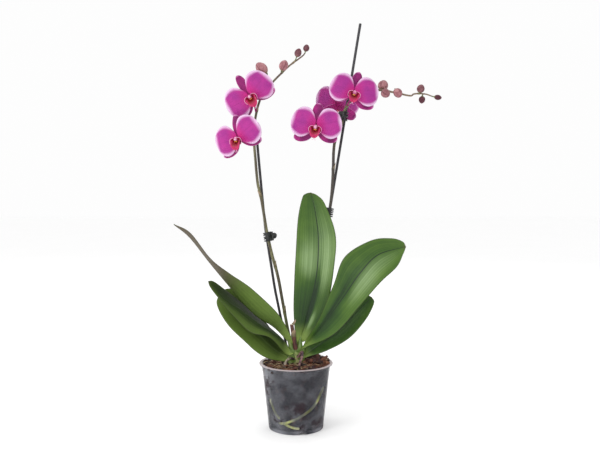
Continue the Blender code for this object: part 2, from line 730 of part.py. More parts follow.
def make_bud(name, share, foot, tip, radius):
    foot, tip = plant(*foot), plant(*tip)
    neck = foot - (tip - foot).normalized() * 1.4 * BUD_STALK_R
    joint = leave_spike(carrier(name), share, neck, BUD_STALK_R)
    path = [joint, neck]
    radii = [BUD_STALK_R, BUD_STALK_R]
    for at, swell in ((0.06, 0.45), (0.22, 0.84), (0.46, 1.0), (0.70, 0.84), (0.90, 0.46), (1.0, 0.12)):
        path.append(foot.lerp(tip, at))
        radii.append(radius * 0.001 * swell)
    tube(name, "bud", path, radii, 7)


# ---------------------------------------------------------------- claw clips

# Each clip: the pair it holds, its height above the rim in mm, how far its middle lies to the right of
# the pair's in mm, and the side its hinge is on, -1 for left and 1 for right.
CLIPS = {
    "clip_left": ("flower_spike_left", "support_stick_left", 204, 0.5, 1),
    "clip_right_lower": ("flower_spike_right", "support_stick_right", 244, 0, -1),
    "clip_right_upper": ("flower_spike_right", "support_stick_right", 402, 0, -1),
}


def at_height(path, height):
    """Where a rising path passes a height, and its direction there."""
    for a, b in zip(path, path[1:]):
        if a.z <= height <= b.z:
            return a.lerp(b, (height - a.z) / (b.z - a.z)), (b - a).normalized()
    return path[-1], (path[-1] - path[-2]).normalized()


def clip_place(name):
    """The middle of the space a clip closes round, the way to its hinge, and the way along the stick."""
    spike, stick, height, shift, hinge_side = CLIPS[name]
    height = POT_HEIGHT + height * 0.001
    on_spike = at_height(spike_path(spike)[0], height)[0]
    on_stick, up = at_height(stick_path(stick), height)
    middle = (on_spike + on_stick) / 2 + Vector((shift * 0.001, 0, 0))
    right = Vector((hinge_side, 0, 0))
    right = (right - up * right.dot(up)).normalized()
    return middle, right, up, hinge_side


def clip_outline(turn):
    """The middle line of one jaw's band, from its thumb wing past the hinge to its tooth tips."""
    band = CLIP_THICKNESS / 2
    reach = LUG_R + 0.0005 + band
    wing = [(HINGE_OFFSET + 0.0070, -0.0062), (HINGE_OFFSET + 0.0044, -0.0046)]
    hinge = [(HINGE_OFFSET + 0.0014, -reach), (HINGE_OFFSET - 0.0012, -reach - 0.0004)]
    arc = []
    for degrees in (42, 74, 106, 138, 162, 184):
        angle = math.radians(degrees)
        arc.append(((CLIP_BORE_X + band) * math.cos(angle), -(CLIP_BORE_Y + band) * math.sin(angle)))
    return [(x, y * turn) for x, y in wing + hinge + arc]


def make_jaw(name, place, turn, levels, teeth):
    """A jaw bent from one band. Past its middle only the teeth go on, cell by cell."""
    outline = clip_outline(turn)
    solid_columns = 5
    flat = [Vector((x, y, 0)) for x, y in outline]
    along = tangents(flat)
    band = CLIP_THICKNESS / 2
    points, index, faces = [], {}, []

    def corner(column, level, outer):
        key = (column, level, outer)
        if key not in index:
            across = along[column].cross(Vector((0, 0, 1)))
            spot = flat[column] + across * (band if outer else -band)
            index[key] = len(points)
            points.append(place @ Vector((spot.x, spot.y, levels[level])))
        return index[key]

    def filled(column, row):
        inside = 0 <= column < len(flat) - 1 and 0 <= row < len(levels) - 1
        return inside and (column < solid_columns or row in teeth)

    for column in range(len(flat) - 1):
        for row in range(len(levels) - 1):
            if not filled(column, row):
                continue
            for outer in (False, True):
                faces.append([corner(column, row, outer), corner(column + 1, row, outer),
                              corner(column + 1, row + 1, outer), corner(column, row + 1, outer)])
            edges = [((column, row), (column + 1, row), (column, row - 1)),
                     ((column + 1, row), (column + 1, row + 1), (column + 1, row)),
                     ((column + 1, row + 1), (column, row + 1), (column, row + 1)),
                     ((column, row + 1), (column, row), (column - 1, row))]
            for a, b, beyond in edges:
                if not filled(*beyond):
                    faces.append([corner(*a, False), corner(*b, False), corner(*b, True), corner(*a, True)])
    return new_object(name, "clip", points, faces)


def make_lug(name, place, turn, low):
    """A hinge lug: a round eye for the pin with a web that runs into the jaw's band."""
    reach = LUG_R + 0.0005 + CLIP_THICKNESS * 0.6
    outer, inner = [], []
    sides = 8
    for k in range(sides):
        angle = 2 * math.pi * (k + 0.5) / sides
        x, y = math.cos(angle), math.sin(angle)
        inner.append((x * (PIN_R + PIN_CLEARANCE), y * (PIN_R + PIN_CLEARANCE)))
        outer.append((x * LUG_R, y * LUG_R if y > -0.4 else -reach))
    points = []
    for loop in (outer, inner):
        for height in (low, low + LUG_HEIGHT):
            points += [place @ Vector((HINGE_OFFSET + x, y * turn, height)) for x, y in loop]
    faces = []
    for k in range(sides):
        after = (k + 1) % sides
        loops = [(k + sides * n, after + sides * n) for n in range(4)]
        (a0, b0), (a1, b1), (a2, b2), (a3, b3) = loops
        faces += [(a0, b0, b1, a1), (a2, b2, b3, a3), (a0, b0, b2, a2), (a1, b1, b3, a3)]
    return new_object(name, "clip", points, faces)


def make_clip(name):
    middle, right, up, hinge_side = clip_place(name)
    place = Matrix.Translation(middle) @ Matrix((right, up.cross(right), up)).transposed().to_4x4()
    low = -CLIP_HEIGHT / 2
    inset = low + 0.0003
    marks = [low + k * (CLIP_TOOTH + CLIP_TOOTH_GAP) for k in range(5)]
    front_levels = [low, low + CLIP_TOOTH, marks[2], marks[2] + CLIP_TOOTH, marks[4], -low]
    back_levels = [low, marks[1], marks[1] + CLIP_TOOTH, marks[3], marks[3] + CLIP_TOOTH, -low]
    jaws = {
        "front_jaw": (hinge_side, front_levels, (0, 2, 4), (inset, -inset - LUG_HEIGHT)),
        "back_jaw": (
            -hinge_side, back_levels, (1, 3), (inset + LUG_HEIGHT + GAP, -inset - 2 * LUG_HEIGHT - GAP)),
    }
    for part, (turn, levels, teeth, lug_feet) in jaws.items():
        jaw = make_jaw(f"{name}_{part}", place, turn, levels, teeth)
        for k, foot in enumerate(lug_feet):
            combine(jaw, make_lug(f"{name}_{part}_lug_{k}", place, turn, foot), "UNION")
    ends = [place @ Vector((HINGE_OFFSET, 0, z)) for z in (low - 0.0004, -low + 0.0004)]
    tube(f"{name}_hinge_pin", "steel", ends, [PIN_R] * 2, 8)
    coil = []
    count = round(SPRING_TURNS * SPRING_STEPS)
    coil_low = low + 2 * LUG_HEIGHT + 0.0016
    coil_high = -coil_low
    for k in range(count + 1):
        angle = 2 * math.pi * k / SPRING_STEPS
        coil.append(place @ Vector((HINGE_OFFSET + SPRING_COIL_R * math.cos(angle),
                                    SPRING_COIL_R * math.sin(angle),
                                    coil_low + (coil_high - coil_low) * k / count)))
    tube(f"{name}_spring", "steel", coil, [SPRING_WIRE_R] * len(coil), 4)


# ---------------------------------------------------------------- assembly


def main():
    clear_scene()
    make_pot()
    pockets = [make_crown("crown_pocket", "bark", POCKET_GAP)]
    pockets += [make_stick(name, "bark", POCKET_GAP) for name in STICKS]
    pockets += [make_wall_root(name, "bark", POCKET_GAP) for name in WALL_ROOTS]
    pockets += [make_aerial_root(name, "bark", POCKET_GAP) for name in AERIAL_ROOTS]
    make_bark(pockets)
    make_crown("crown", "crown")
    for name, shape in LEAVES.items():
        make_leaf(name, *shape)
    for name in SPIKES:
        tube(name, "spike", *spike_path(name))
    for name in STICKS:
        make_stick(name, "stick")
    stub = from_crown(*OLD_SPIKE, OLD_SPIKE_R + GAP)
    tube("old_spike_stub", "old_spike", stub, [OLD_SPIKE_R * share for share in (1, 0.9, 0.8)], 8)
    for name in WALL_ROOTS:
        make_wall_root(name, "root")
    for name in AERIAL_ROOTS:
        make_aerial_root(name, "root")
    for name, shape in FLOWERS.items():
        make_flower(name, *shape)
    for name, shape in BUDS.items():
        make_bud(name, *shape)
    for name in CLIPS:
        make_clip(name)


main()
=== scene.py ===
import json
import math

import bmesh
import bpy
from mathutils import Matrix, Vector, noise


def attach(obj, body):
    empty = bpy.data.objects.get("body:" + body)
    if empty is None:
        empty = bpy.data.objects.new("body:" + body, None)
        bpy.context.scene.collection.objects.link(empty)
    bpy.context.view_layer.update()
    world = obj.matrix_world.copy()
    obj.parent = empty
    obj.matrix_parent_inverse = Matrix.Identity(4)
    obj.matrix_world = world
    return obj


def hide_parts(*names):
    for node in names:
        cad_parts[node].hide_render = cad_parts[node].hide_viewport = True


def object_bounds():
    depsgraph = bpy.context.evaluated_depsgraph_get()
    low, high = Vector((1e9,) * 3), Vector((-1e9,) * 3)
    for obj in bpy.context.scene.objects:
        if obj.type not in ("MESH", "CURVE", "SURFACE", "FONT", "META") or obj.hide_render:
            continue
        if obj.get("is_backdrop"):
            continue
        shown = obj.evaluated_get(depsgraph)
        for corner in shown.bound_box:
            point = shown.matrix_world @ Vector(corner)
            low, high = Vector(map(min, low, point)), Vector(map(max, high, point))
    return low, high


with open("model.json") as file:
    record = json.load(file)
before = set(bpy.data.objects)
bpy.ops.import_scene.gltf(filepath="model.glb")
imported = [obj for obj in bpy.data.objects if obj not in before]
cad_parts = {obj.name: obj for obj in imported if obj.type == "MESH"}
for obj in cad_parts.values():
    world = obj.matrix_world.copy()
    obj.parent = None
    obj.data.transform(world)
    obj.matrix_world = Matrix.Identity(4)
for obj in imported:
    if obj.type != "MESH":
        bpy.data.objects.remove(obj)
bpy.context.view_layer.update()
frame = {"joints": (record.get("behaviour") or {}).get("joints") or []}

# ---------------------------------------------------------------- the room
# A pale floor under the plant and an even white sky. A large soft lamp stands to the upper left in
# front, a smaller one beside the camera, one behind, and one low on the left that lights the pot's edge.
# The camera stands 1.2 m away and looks slightly down.

FLOOR_REACH, FLOOR_DROP, SKY_STRENGTH = 9, 0.0002, 0.985
LAMPS = (((-1.2, -1.3, 1.7), 0.9, 11), ((-0.30, -1.9, 0.50), 0.45, 5.5), ((0.5, 1.8, 1.7), 1.5, 6),
         ((-1.1, 0.15, 0.35), 0.5, 3.0))  # place and width in m, power in W
LAMPS_AIM = (0, 0, 0.3)
CAMERA_PLACE, CAMERA_DOWN, LENS, SENSOR = (0.0065, -1.2, 0.39), 2.8, 44.46, 36


class Coat:
    """A material's nodes, seen from one socket. Sums on it add Math nodes; node() adds any other."""

    def __init__(self, tree, socket=None):
        self.tree, self.socket = tree, socket

    def node(self, kind, settings, sockets, output=0):
        made = self.tree.nodes.new(kind)
        for key, value in settings.items():
            if key == "stops":
                stops = made.color_ramp.elements
                for spare in stops[1:]:
                    stops.remove(spare)
                stops[0].position, stops[0].color = value[0][0], (*value[0][1], 1)
                for place, colour in value[1:]:
                    stops.new(place).color = (*colour, 1)
            else:
                setattr(made, key, value)
        for key, value in sockets.items():
            if isinstance(value, Coat):
                self.tree.links.new(value.socket, made.inputs[key])
            else:
                made.inputs[key].default_value = value
        return Coat(self.tree, made.outputs[output] if len(made.outputs) else None)

    def maths(self, operation, *values):
        return self.node("ShaderNodeMath", {"operation": operation}, dict(enumerate(values)))

    def __add__(self, other):
        return self.maths("ADD", self, other)

    def __sub__(self, other):
        return self.maths("SUBTRACT", self, other)

    def __mul__(self, other):
        return self.maths("MULTIPLY", self, other)

    def __rsub__(self, other):
        return self.maths("SUBTRACT", other, self)

    __radd__, __rmul__ = __add__, __mul__

    def fade(self, low, high):
        """0 below low and 1 above high, with a soft step between. low may be the greater."""
        return self.node("ShaderNodeMapRange", {"interpolation_type": "SMOOTHSTEP"},
                         {0: self, 1: low, 2: high})

    def blend(self, first, second):
        """The first colour where this is 0, the second where it is 1."""
        colours = {key: value if isinstance(value, Coat) else (*value, 1)
                   for key, value in ((6, first), (7, second))}
        return self.node("ShaderNodeMix", {"data_type": "RGBA"}, {0: self, **colours}, 2)

    def mark(self, name):
        """A value that the mesh carries at each point."""
        return self.node("ShaderNodeAttribute", {"attribute_name": name}, {}, 2)

    def off_middle(self):
        """0 where this is 0.5, 1 where it is 0 or 1."""
        return self.maths("ABSOLUTE", (self - 0.5) * 2)

    def part(self, axis):
        return self.node("ShaderNodeSeparateXYZ", {}, {0: self}, axis)

    def stretched(self, x, y, z):
        return self.node("ShaderNodeMapping", {}, {"Vector": self, "Scale": (x, y, z)})

    def clouds(self, scale, detail=2.0, rough=0.5):
        """Noise on this vector, about 0.5 with most of it between 0.3 and 0.7."""
        return self.node("ShaderNodeTexNoise", {},
                         {"Vector": self, "Scale": scale, "Detail": detail, "Roughness": rough})

    def surface(self, colour, roughness, height=None, depth=0.0002, **fixed):
        """Closes the material: a Principled shader with a bump of this depth in metres."""
        sockets = {"Base Color": colour if isinstance(colour, Coat) else (*colour, 1),
                   "Roughness": roughness}
        sockets.update({key.replace("_", " "): value for key, value in fixed.items()})
        if height is not None:
            sockets["Normal"] = self.node("ShaderNodeBump", {}, {"Distance": depth, "Height": height})
        shader = self.node("ShaderNodeBsdfPrincipled", {}, sockets)
        self.node("ShaderNodeOutputMaterial", {}, {"Surface": shader})


def new_material(name):
    """An empty material, and its nodes' object coordinates and UV to start sums from."""
    made = bpy.data.materials.new(name)
    made.use_nodes = True
    made.node_tree.nodes.clear()
    start = Coat(made.node_tree)
    return made, start.node("ShaderNodeTexCoord", {}, {}, 3), start.node("ShaderNodeUVMap", {}, {})


def new_piece(name, points, faces, material, uvs=None, **marks):
    """A mesh object with its faces turned outwards. uvs and marks hold one value for each point."""
    mesh = bpy.data.meshes.new(name)
    mesh.from_pydata([tuple(p) for p in points], [], faces)
    if uvs:
        layer = mesh.uv_layers.new(name="UVMap")
        for corner in mesh.loops:
            layer.data[corner.index].uv = uvs[corner.vertex_index]
    for mark, values in marks.items():
        mesh.attributes.new(mark, "FLOAT", "POINT").data.foreach_set("value", values)
    build = bmesh.new()
    build.from_mesh(mesh)
    bmesh.ops.recalc_face_normals(build, faces=build.faces)
    build.to_mesh(mesh)
    build.free()
    mesh.shade_smooth()
    made = bpy.data.objects.new(name, mesh)
    made.data.materials.append(material)
    bpy.context.scene.collection.objects.link(made)
    return made


floor_paint, where, _ = new_material("pale floor")
where.surface(where.clouds(3).blend((0.98, 0.98, 0.98), (1.0, 1.0, 1.0)), 0.9)
floor = new_piece("floor", [(x * FLOOR_REACH, y * FLOOR_REACH, 0) for x, y in (
    (-1, -1), (1, -1), (1, 1), (-1, 1))], [(0, 1, 2, 3)], floor_paint)
floor.location.z = -FLOOR_DROP
floor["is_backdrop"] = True

sky = bpy.data.worlds.new("sky")
sky.use_nodes = True
sky.node_tree.nodes["Background"].inputs["Color"].default_value = (1, 1, 1, 1)
sky.node_tree.nodes["Background"].inputs["Strength"].default_value = SKY_STRENGTH
bpy.context.scene.world = sky
bpy.context.scene.view_settings.view_transform = "Standard"

for place, size, power in LAMPS:
    lamp = bpy.data.lights.new("soft lamp", "AREA")
    lamp.shape, lamp.size, lamp.energy = "DISK", size, power
    holder = bpy.data.objects.new("soft lamp", lamp)
    holder.location = place
    holder.rotation_euler = (Vector(LAMPS_AIM) - Vector(place)).to_track_quat("-Z", "Y").to_euler()
    bpy.context.scene.collection.objects.link(holder)

camera = bpy.data.cameras.new("camera")
camera.lens, camera.sensor_width = LENS, SENSOR
viewer = bpy.data.objects.new("camera", camera)
viewer.location = CAMERA_PLACE
viewer.rotation_euler = (math.radians(90 - CAMERA_DOWN), 0, 0)
bpy.context.scene.collection.objects.link(viewer)
bpy.context.scene.camera = viewer

# ---------------------------------------------------------------- the nursery pot
# A thin smoked plastic growing pot, moulded in one piece: a tapered wall, a rolled lip paler than the wall,
# a foot ring with three notches and a floor with drain holes. What grows inside shows dimly
# through the wall.

POT_HEIGHT, POT_TOP_R, POT_BASE_R, POT_WALL = 0.107, 0.0560, 0.0450, 0.0012
FLOOR_RISE, NOTCH_WIDTH, NOTCH_HEIGHT, NOTCH_MIDDLES = 0.0050, 0.016, 0.0046, (13, 133, 253)
FOOT_RING_IN, FOOT_RING_OUT, FOOT_RING_TALL = 0.0410, 0.0475, 0.0047
DRAIN_COUNT, DRAIN_CIRCLE_R, DRAIN_R, DRAIN_SIDES = 6, 0.026, 0.003, 24
TURNS = 288  # points round the pot


def wall_radius(height):
    """Outer radius of the pot's wall at a height."""
    return POT_BASE_R + (POT_TOP_R - POT_BASE_R) * (height - FLOOR_RISE) / (POT_HEIGHT - FLOOR_RISE)


def around(degrees, radius, height):
    """A point at this angle from the front, towards +X."""
    angle = math.radians(degrees)
    return Vector((radius * math.sin(angle), -radius * math.cos(angle), height))


def notch_top(degrees):
    """How high the foot ring's notches reach at this angle."""
    away = min(abs((degrees - middle + 180) % 360 - 180) for middle in NOTCH_MIDDLES)
    share = math.radians(away) * wall_radius(0) / NOTCH_WIDTH
    return NOTCH_HEIGHT * (1 - 0.9 * share if share < 0.22 else max(0.8 - 2.9 * (share - 0.22), 0))


smoked_plastic, where, _ = new_material("smoked plastic")
high = where.part(2)
lip = high.fade(POT_HEIGHT - 0.0016, POT_HEIGHT - 0.0006)
damp = where.clouds(42, 3, 0.6)
dust_and_left_highlight = where.clouds(16, 2)
fine_speckle = where.clouds(300, 2)
stain = where.clouds(34, 4, 0.6)
sideways = where.part(0)
grey = damp.fade(0.38, 0.62).blend((0.028, 0.029, 0.038), (0.098, 0.101, 0.118))
# Painted highlight: the wall's far left edge turns pale grey in patches.
grey = (dust_and_left_highlight.fade(0.36, 0.60) * sideways.fade(0.02, -0.055)).blend(grey, (0.27, 0.28, 0.31))
grey = stain.fade(0.54, 0.60).blend(grey, (0.024, 0.012, 0.020))
grey = (high.fade(0.016, 0.003) * damp.fade(0.46, 0.62)).blend(grey, (0.16, 0.16, 0.18))
grey = lip.blend(grey, fine_speckle.blend((0.33, 0.26, 0.27), (0.52, 0.45, 0.45)))
clear = where.mark("clear")
where.surface(grey, 0.30 + 0.25 * damp, fine_speckle * 0.3 + dust_and_left_highlight, 0.0006,
              Alpha=(0.50 + 0.5 * lip + 0.4 * high.fade(0.0065, 0.0045)) * (1 - 0.85 * clear),
              Specular_IOR_Level=0.4)

# The pot's section as (radius, height): under the floor, round the foot ring, up the wall, over the
# rolled lip, down the inside and across the floor to the middle.
wall_lip = wall_radius(0.1046)
outside = [(0, 0), (0.006, 0), (0.0098, 0), (0.0102, 0.0006), (0.0110, 0.0044), (0.0116, 0.005)]
outside += [(0.0425 * s + 0.0116 * (1 - s), 0.005) for s in (0.25, 0.5, 0.75, 0.97)]
outside += [(0.0416, 0.0046), (0.0420, 0.0004), (0.0426, 0.0)]
outside += [(0.0432, 0), (0.0439, 0.00008), (0.0443, 0.0003), (wall_radius(0.001), 0.001)]
outside += [(wall_radius(h), h) for h in (0.002, 0.004, 0.0065, 0.011, 0.02, 0.035, 0.05, 0.065, 0.08)]
outside += [(wall_radius(0.0935), 0.0935), (wall_radius(0.094) + 0.0003, 0.094)]
outside += [(wall_radius(0.103) + 0.0002, 0.103), (wall_lip + 0.0002, 0.1040), (wall_lip + 0.0010, 0.1045)]
outside += [(0.0590, 0.10455), (0.0597, 0.1048), (0.0600, 0.1054), (0.0600, 0.1061), (0.0597, 0.1067)]
outside += [(0.0590, 0.1070), (0.0560, 0.1070), (0.0553, 0.10675), (wall_lip - 0.0010, 0.1060)]
outside += [(wall_radius(h) - POT_WALL, h) for h in (0.103, 0.08, 0.05, 0.02, 0.009)]
outside += [(0.0427, 0.0075), (0.0415, 0.0063), (0.030, 0.0062), (0.0125, 0.0062), (0.0110, 0.0055)]
outside += [(0.0100, 0.0016), (0.0090, 0.0012), (0, 0.0012)]
points, faces = [], []
for radius, height in outside:
    for k in range(1 if radius == 0 else TURNS):
        spot = around(360 * k / TURNS, radius, height)
        if FOOT_RING_IN < radius < FOOT_RING_OUT and height < FOOT_RING_TALL:
            spot.z = max(height, notch_top(360 * k / TURNS))
        points.append(spot)
starts = [0]
for radius, _ in outside:
    starts.append(starts[-1] + (1 if radius == 0 else TURNS))
for i in range(len(outside) - 1):
    for k in range(TURNS):
        corners = [starts[i] + k, starts[i] + (k + 1) % TURNS,
                   starts[i + 1] + (k + 1) % TURNS, starts[i + 1] + k]
        if outside[i][0] == 0:
            corners = [0, corners[2], corners[3]]
        if outside[i + 1][0] == 0:
            corners = [corners[0], corners[1], starts[i + 1]]
        faces.append(corners)
pot = new_piece("pot", points, faces, smoked_plastic)

hole_points, hole_faces = [], []
for hole in range(DRAIN_COUNT):
    middle = around(360 / DRAIN_COUNT * (hole + 0.6), DRAIN_CIRCLE_R, 0)
    first, second = len(hole_points), len(hole_points) + DRAIN_SIDES
    for height in (FLOOR_RISE - 0.002, FLOOR_RISE + 0.004):
        hole_points += [middle + around(360 / DRAIN_SIDES * k, DRAIN_R, height) for k in range(DRAIN_SIDES)]
    hole_faces += [tuple(range(first, second)), tuple(range(second, second + DRAIN_SIDES))]
    for k in range(DRAIN_SIDES):
        after = (k + 1) % DRAIN_SIDES
        hole_faces.append((first + k, first + after, second + after, second + k))
drill = new_piece("drill", hole_points, hole_faces, smoked_plastic)


def bake(piece):
    """Turns the piece's modifiers into a plain mesh and takes them off."""
    shown = piece.evaluated_get(bpy.context.evaluated_depsgraph_get())
    piece.data = bpy.data.meshes.new_from_object(shown)
    piece.data.name = piece.name
    piece.modifiers.clear()
    return piece


holes = pot.modifiers.new("holes", "BOOLEAN")
holes.operation, holes.solver, holes.object = "DIFFERENCE", "EXACT", drill
bake(pot)
bpy.data.objects.remove(drill)
pot.data.set_sharp_from_angle(angle=math.radians(50))

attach(pot, "plant_in_pot")
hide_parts("nursery_pot")

# ---------------------------------------------------------------- bark, moss threads and the roots in it
# The pot is filled with damp bark chips. They press against the wall, lie loose on top with shreds of
# dry moss between them, and a few stand above the rim behind. Two roots have grown round inside the
# wall, where the light has turned them green.

BARK_TOP, BARK_LUMPS, BARK_SLOPE = POT_HEIGHT - 0.0035, 0.0030, 0.0030
BED_FLOOR, BED_GAP, BED_ROUND, BED_LEVELS, BED_RINGS = 0.0066, 0.0006, 240, 80, 26
WALL_ROOT_R, WALL_ROOT_GAP, WALL_ROOT_POINTS = 0.00205, 0.0003, 60


def bark_height(x, y):
    lumps = noise.noise(Vector((x, y, 0)) * 70) * BARK_LUMPS
    return BARK_TOP + lumps + BARK_SLOPE * (x + y) / POT_TOP_R


def smooth_path(points, count):
    """count points on a Catmull-Rom curve through points."""
    padded = [points[0] * 2 - points[1], *points, points[-1] * 2 - points[-2]]
    path = []
    for k in range(count):
        at = (len(points) - 1) * k / (count - 1)
        i = min(int(at), len(points) - 2)
        t = at - i
        a, b, c, d = padded[i:i + 4]
        path.append(0.5 * (2 * b + (c - a) * t + (2 * a - 5 * b + 4 * c - d) * t**2
                           + (3 * b - 3 * c + d - a) * t**3))
    return path


def grid(rows, columns, closed=False):
    """Faces of rows of points. Where closed, each row joins up with its own start."""
    faces = []
    for row in range(0, (rows - 1) * columns, columns):
        for k in range(columns if closed else columns - 1):
            after = (k + 1) % columns
            faces.append((row + k, row + after, row + columns + after, row + columns + k))
    return faces


bark, where, _ = new_material("damp bark")
tone = where.mark("tone")
grain = where.stretched(1, 1, 0.35).clouds(520, 4, 0.65)
patch = where.clouds(90, 2)
brown = tone.node("ShaderNodeValToRGB", {"stops": (
    (0.0, (0.006, 0.003, 0.003)), (0.3, (0.026, 0.008, 0.005)), (0.55, (0.070, 0.018, 0.009)),
    (0.8, (0.130, 0.040, 0.018)), (1.0, (0.26, 0.12, 0.06)))}, {0: tone + 0.5 * grain - 0.25})
where.surface(patch.fade(0.5, 0.72).blend(brown, (0.030, 0.010, 0.012)), 0.55 + 0.4 * grain,
              grain + 0.4 * patch, 0.0008)

# Each root's line as (degrees round the pot, share of its height).
WALL_ROOTS = {
    "wall_root_long": [(66, 0.67), (56, 0.58), (47, 0.49), (35, 0.39), (20, 0.32), (4, 0.25),
                       (-12, 0.20), (-26, 0.16), (-40, 0.15)],
    "wall_root_short": [(-62, 0.49), (-54, 0.37), (-46, 0.28), (-36, 0.22)],
    "wall_root_low": [(-30, 0.175), (-18, 0.130), (-4, 0.100), (8, 0.092)],
}
wall_root_paths = {}
for name, route in WALL_ROOTS.items():
    turned = smooth_path([Vector((degrees, share, 0)) for degrees, share in route], WALL_ROOT_POINTS)
    wall_root_paths[name] = [
        around(spot.x, wall_radius(spot.y * POT_HEIGHT) - POT_WALL - (WALL_ROOT_GAP + WALL_ROOT_R),
               spot.y * POT_HEIGHT) for spot in turned]

# Where a root presses on the wall it wets it, and the plastic there is clear.
root_spots = [spot for path in wall_root_paths.values() for spot in path]
wet = [max(0.0, 1 - min((corner.co - spot).length for spot in root_spots) / 0.0052)
       for corner in pot.data.vertices]
pot.data.attributes.new("clear", "FLOAT", "POINT").data.foreach_set("value", [min(1, 2 * w) for w in wet])

# The bark bed: chips pressed on the wall are cells that stand out, with a hollow round each root.
points, tones_and_gap_shade = [], []
for level in range(BED_LEVELS + 1):
    for k in range(BED_ROUND):
        rim = around(360 * k / BED_ROUND, 0.05, 0)
        top = bark_height(rim.x, rim.y) - 0.002
        height = BED_FLOOR + (top - BED_FLOOR) * level / BED_LEVELS
        spot = around(360 * k / BED_ROUND, wall_radius(height) - POT_WALL - BED_GAP, height)
        (near, next_near, *_), cells = noise.voronoi(spot * 105)
        edge = min((next_near - near) * 3.2, 1)
        depth = 0.0002 + 0.0030 * (1 - edge) + 0.0012 * noise.cell(cells[0] * 3.1)
        for path in wall_root_paths.values():
            away = min((spot - p).length for p in path[::3])
            depth = max(depth, 0.0042 * min(1, max(0, (0.0062 - away) / 0.002)))
        floor_pull = 0.0035 * max(0, 1 - level / 2.5)
        points.append(spot - around(360 * k / BED_ROUND, depth + floor_pull, 0))
        # The tone is random for each chip and drops to dark at the chips' edges: a painted shade in the gaps
        # between them.
        tones_and_gap_shade.append(0.15 + 0.75 * noise.cell(cells[0] * 7.3 + Vector((5, 2, 1))) * edge)
for ring in range(1, BED_RINGS):
    for k in range(BED_ROUND):
        share = 1 - ring / BED_RINGS
        spot = around(360 * k / BED_ROUND, (wall_radius(BARK_TOP) - POT_WALL - 0.002) * share, 0)
        (near, next_near, *_), cells = noise.voronoi(spot * 120)
        edge = min((next_near - near) * 3, 1)
        spot.z = bark_height(spot.x, spot.y) - 0.0020 + 0.0022 * edge
        points.append(spot)
        # On top too the tone drops to dark at the chips' edges, a painted shade in the gaps.
        tones_and_gap_shade.append(0.1 + 0.5 * noise.cell(cells[0] * 7.3) * edge)
points += [Vector((0, 0, BARK_TOP - 0.002)), Vector((0, 0, BED_FLOOR))]
tones_and_gap_shade += [0.2, 0.2]
rows = BED_LEVELS + BED_RINGS
faces = grid(rows, BED_ROUND, True)
faces += [((rows - 1) * BED_ROUND + k, (rows - 1) * BED_ROUND + (k + 1) % BED_ROUND, len(points) - 2)
          for k in range(BED_ROUND)]
faces += [(k, (k + 1) % BED_ROUND, len(points) - 1) for k in range(BED_ROUND)]
bark_bed = new_piece("bark_bed", points, faces, bark, tone=tones_and_gap_shade)
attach(bark_bed, "plant_in_pot")
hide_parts("bark_medium")


class Tree:
    """A Geometry Nodes tree with one geometry in, named sizes, and one geometry out."""

    def __init__(self, name, sizes):
        self.tree = bpy.data.node_groups.new(name, "GeometryNodeTree")
        self.tree.interface.new_socket("Geometry", in_out="OUTPUT", socket_type="NodeSocketGeometry")
        self.tree.interface.new_socket("Geometry", in_out="INPUT", socket_type="NodeSocketGeometry")
        self.sizes = {}
        for size, kind in sizes.items():
            made = self.tree.interface.new_socket(size, in_out="INPUT", socket_type=f"NodeSocket{kind}")
            self.sizes[size] = made.identifier
        self.given = self.tree.nodes.new("NodeGroupInput")

    def node(self, kind, settings, sockets, output=0):
        made = self.tree.nodes.new(kind)
        for key, value in settings.items():
            setattr(made, key, value)
        for key, value in sockets.items():
            if isinstance(value, str) and value in self.sizes or value == "Geometry":
                self.tree.links.new(self.given.outputs[value], made.inputs[key])
            elif isinstance(value, bpy.types.NodeSocket):
                self.tree.links.new(value, made.inputs[key])
            else:
                made.inputs[key].default_value = value
        return made.outputs[output] if len(made.outputs) else None

    def scatter(self):
        """Even random points on the geometry, the tree's Spacing apart."""
        return self.node("GeometryNodeDistributePointsOnFaces", {"distribute_method": "POISSON"},
                         {0: "Geometry", "Distance Min": "Spacing", "Density Max": 4e5, "Seed": "Seed"})

    def chance(self, low, high, seed, size=None):
        """A random number for each point, as a share of one of the tree's sizes where it is given."""
        found = self.node("FunctionNodeRandomValue", {"data_type": "FLOAT"},
                          {2: low, 3: high, "Seed": seed}, 1)
        return self.node("ShaderNodeMath", {"operation": "MULTIPLY"}, {0: found, 1: size}) if size else found

    def sweep(self, line, sides, radius, **others):
        """Ends the tree in a round section swept along a line."""
        ring = self.node("GeometryNodeCurvePrimitiveCircle", {}, {"Resolution": sides, "Radius": radius})
        self.close(self.node("GeometryNodeCurveToMesh", {}, {"Curve": line, "Profile Curve": ring, **others,
                                                             "Fill Caps": True}))

    def close(self, geometry):
        """Ends the tree in Realize Instances and Set Material."""
        real = self.node("GeometryNodeRealizeInstances", {}, {0: geometry})
        finish = self.node("GeometryNodeSetMaterial", {}, {0: real, "Material": "Material"})
        self.node("NodeGroupOutput", {}, {0: finish})

    def grow(self, piece, **sizes):
        """Runs the tree on a piece and leaves the result as the piece's plain mesh."""
        modifier = piece.modifiers.new(self.tree.name, "NODES")
        modifier.node_group = self.tree
        for size, value in sizes.items():
            modifier[self.sizes[size.replace("_", " ")]] = value
        return bake(piece)


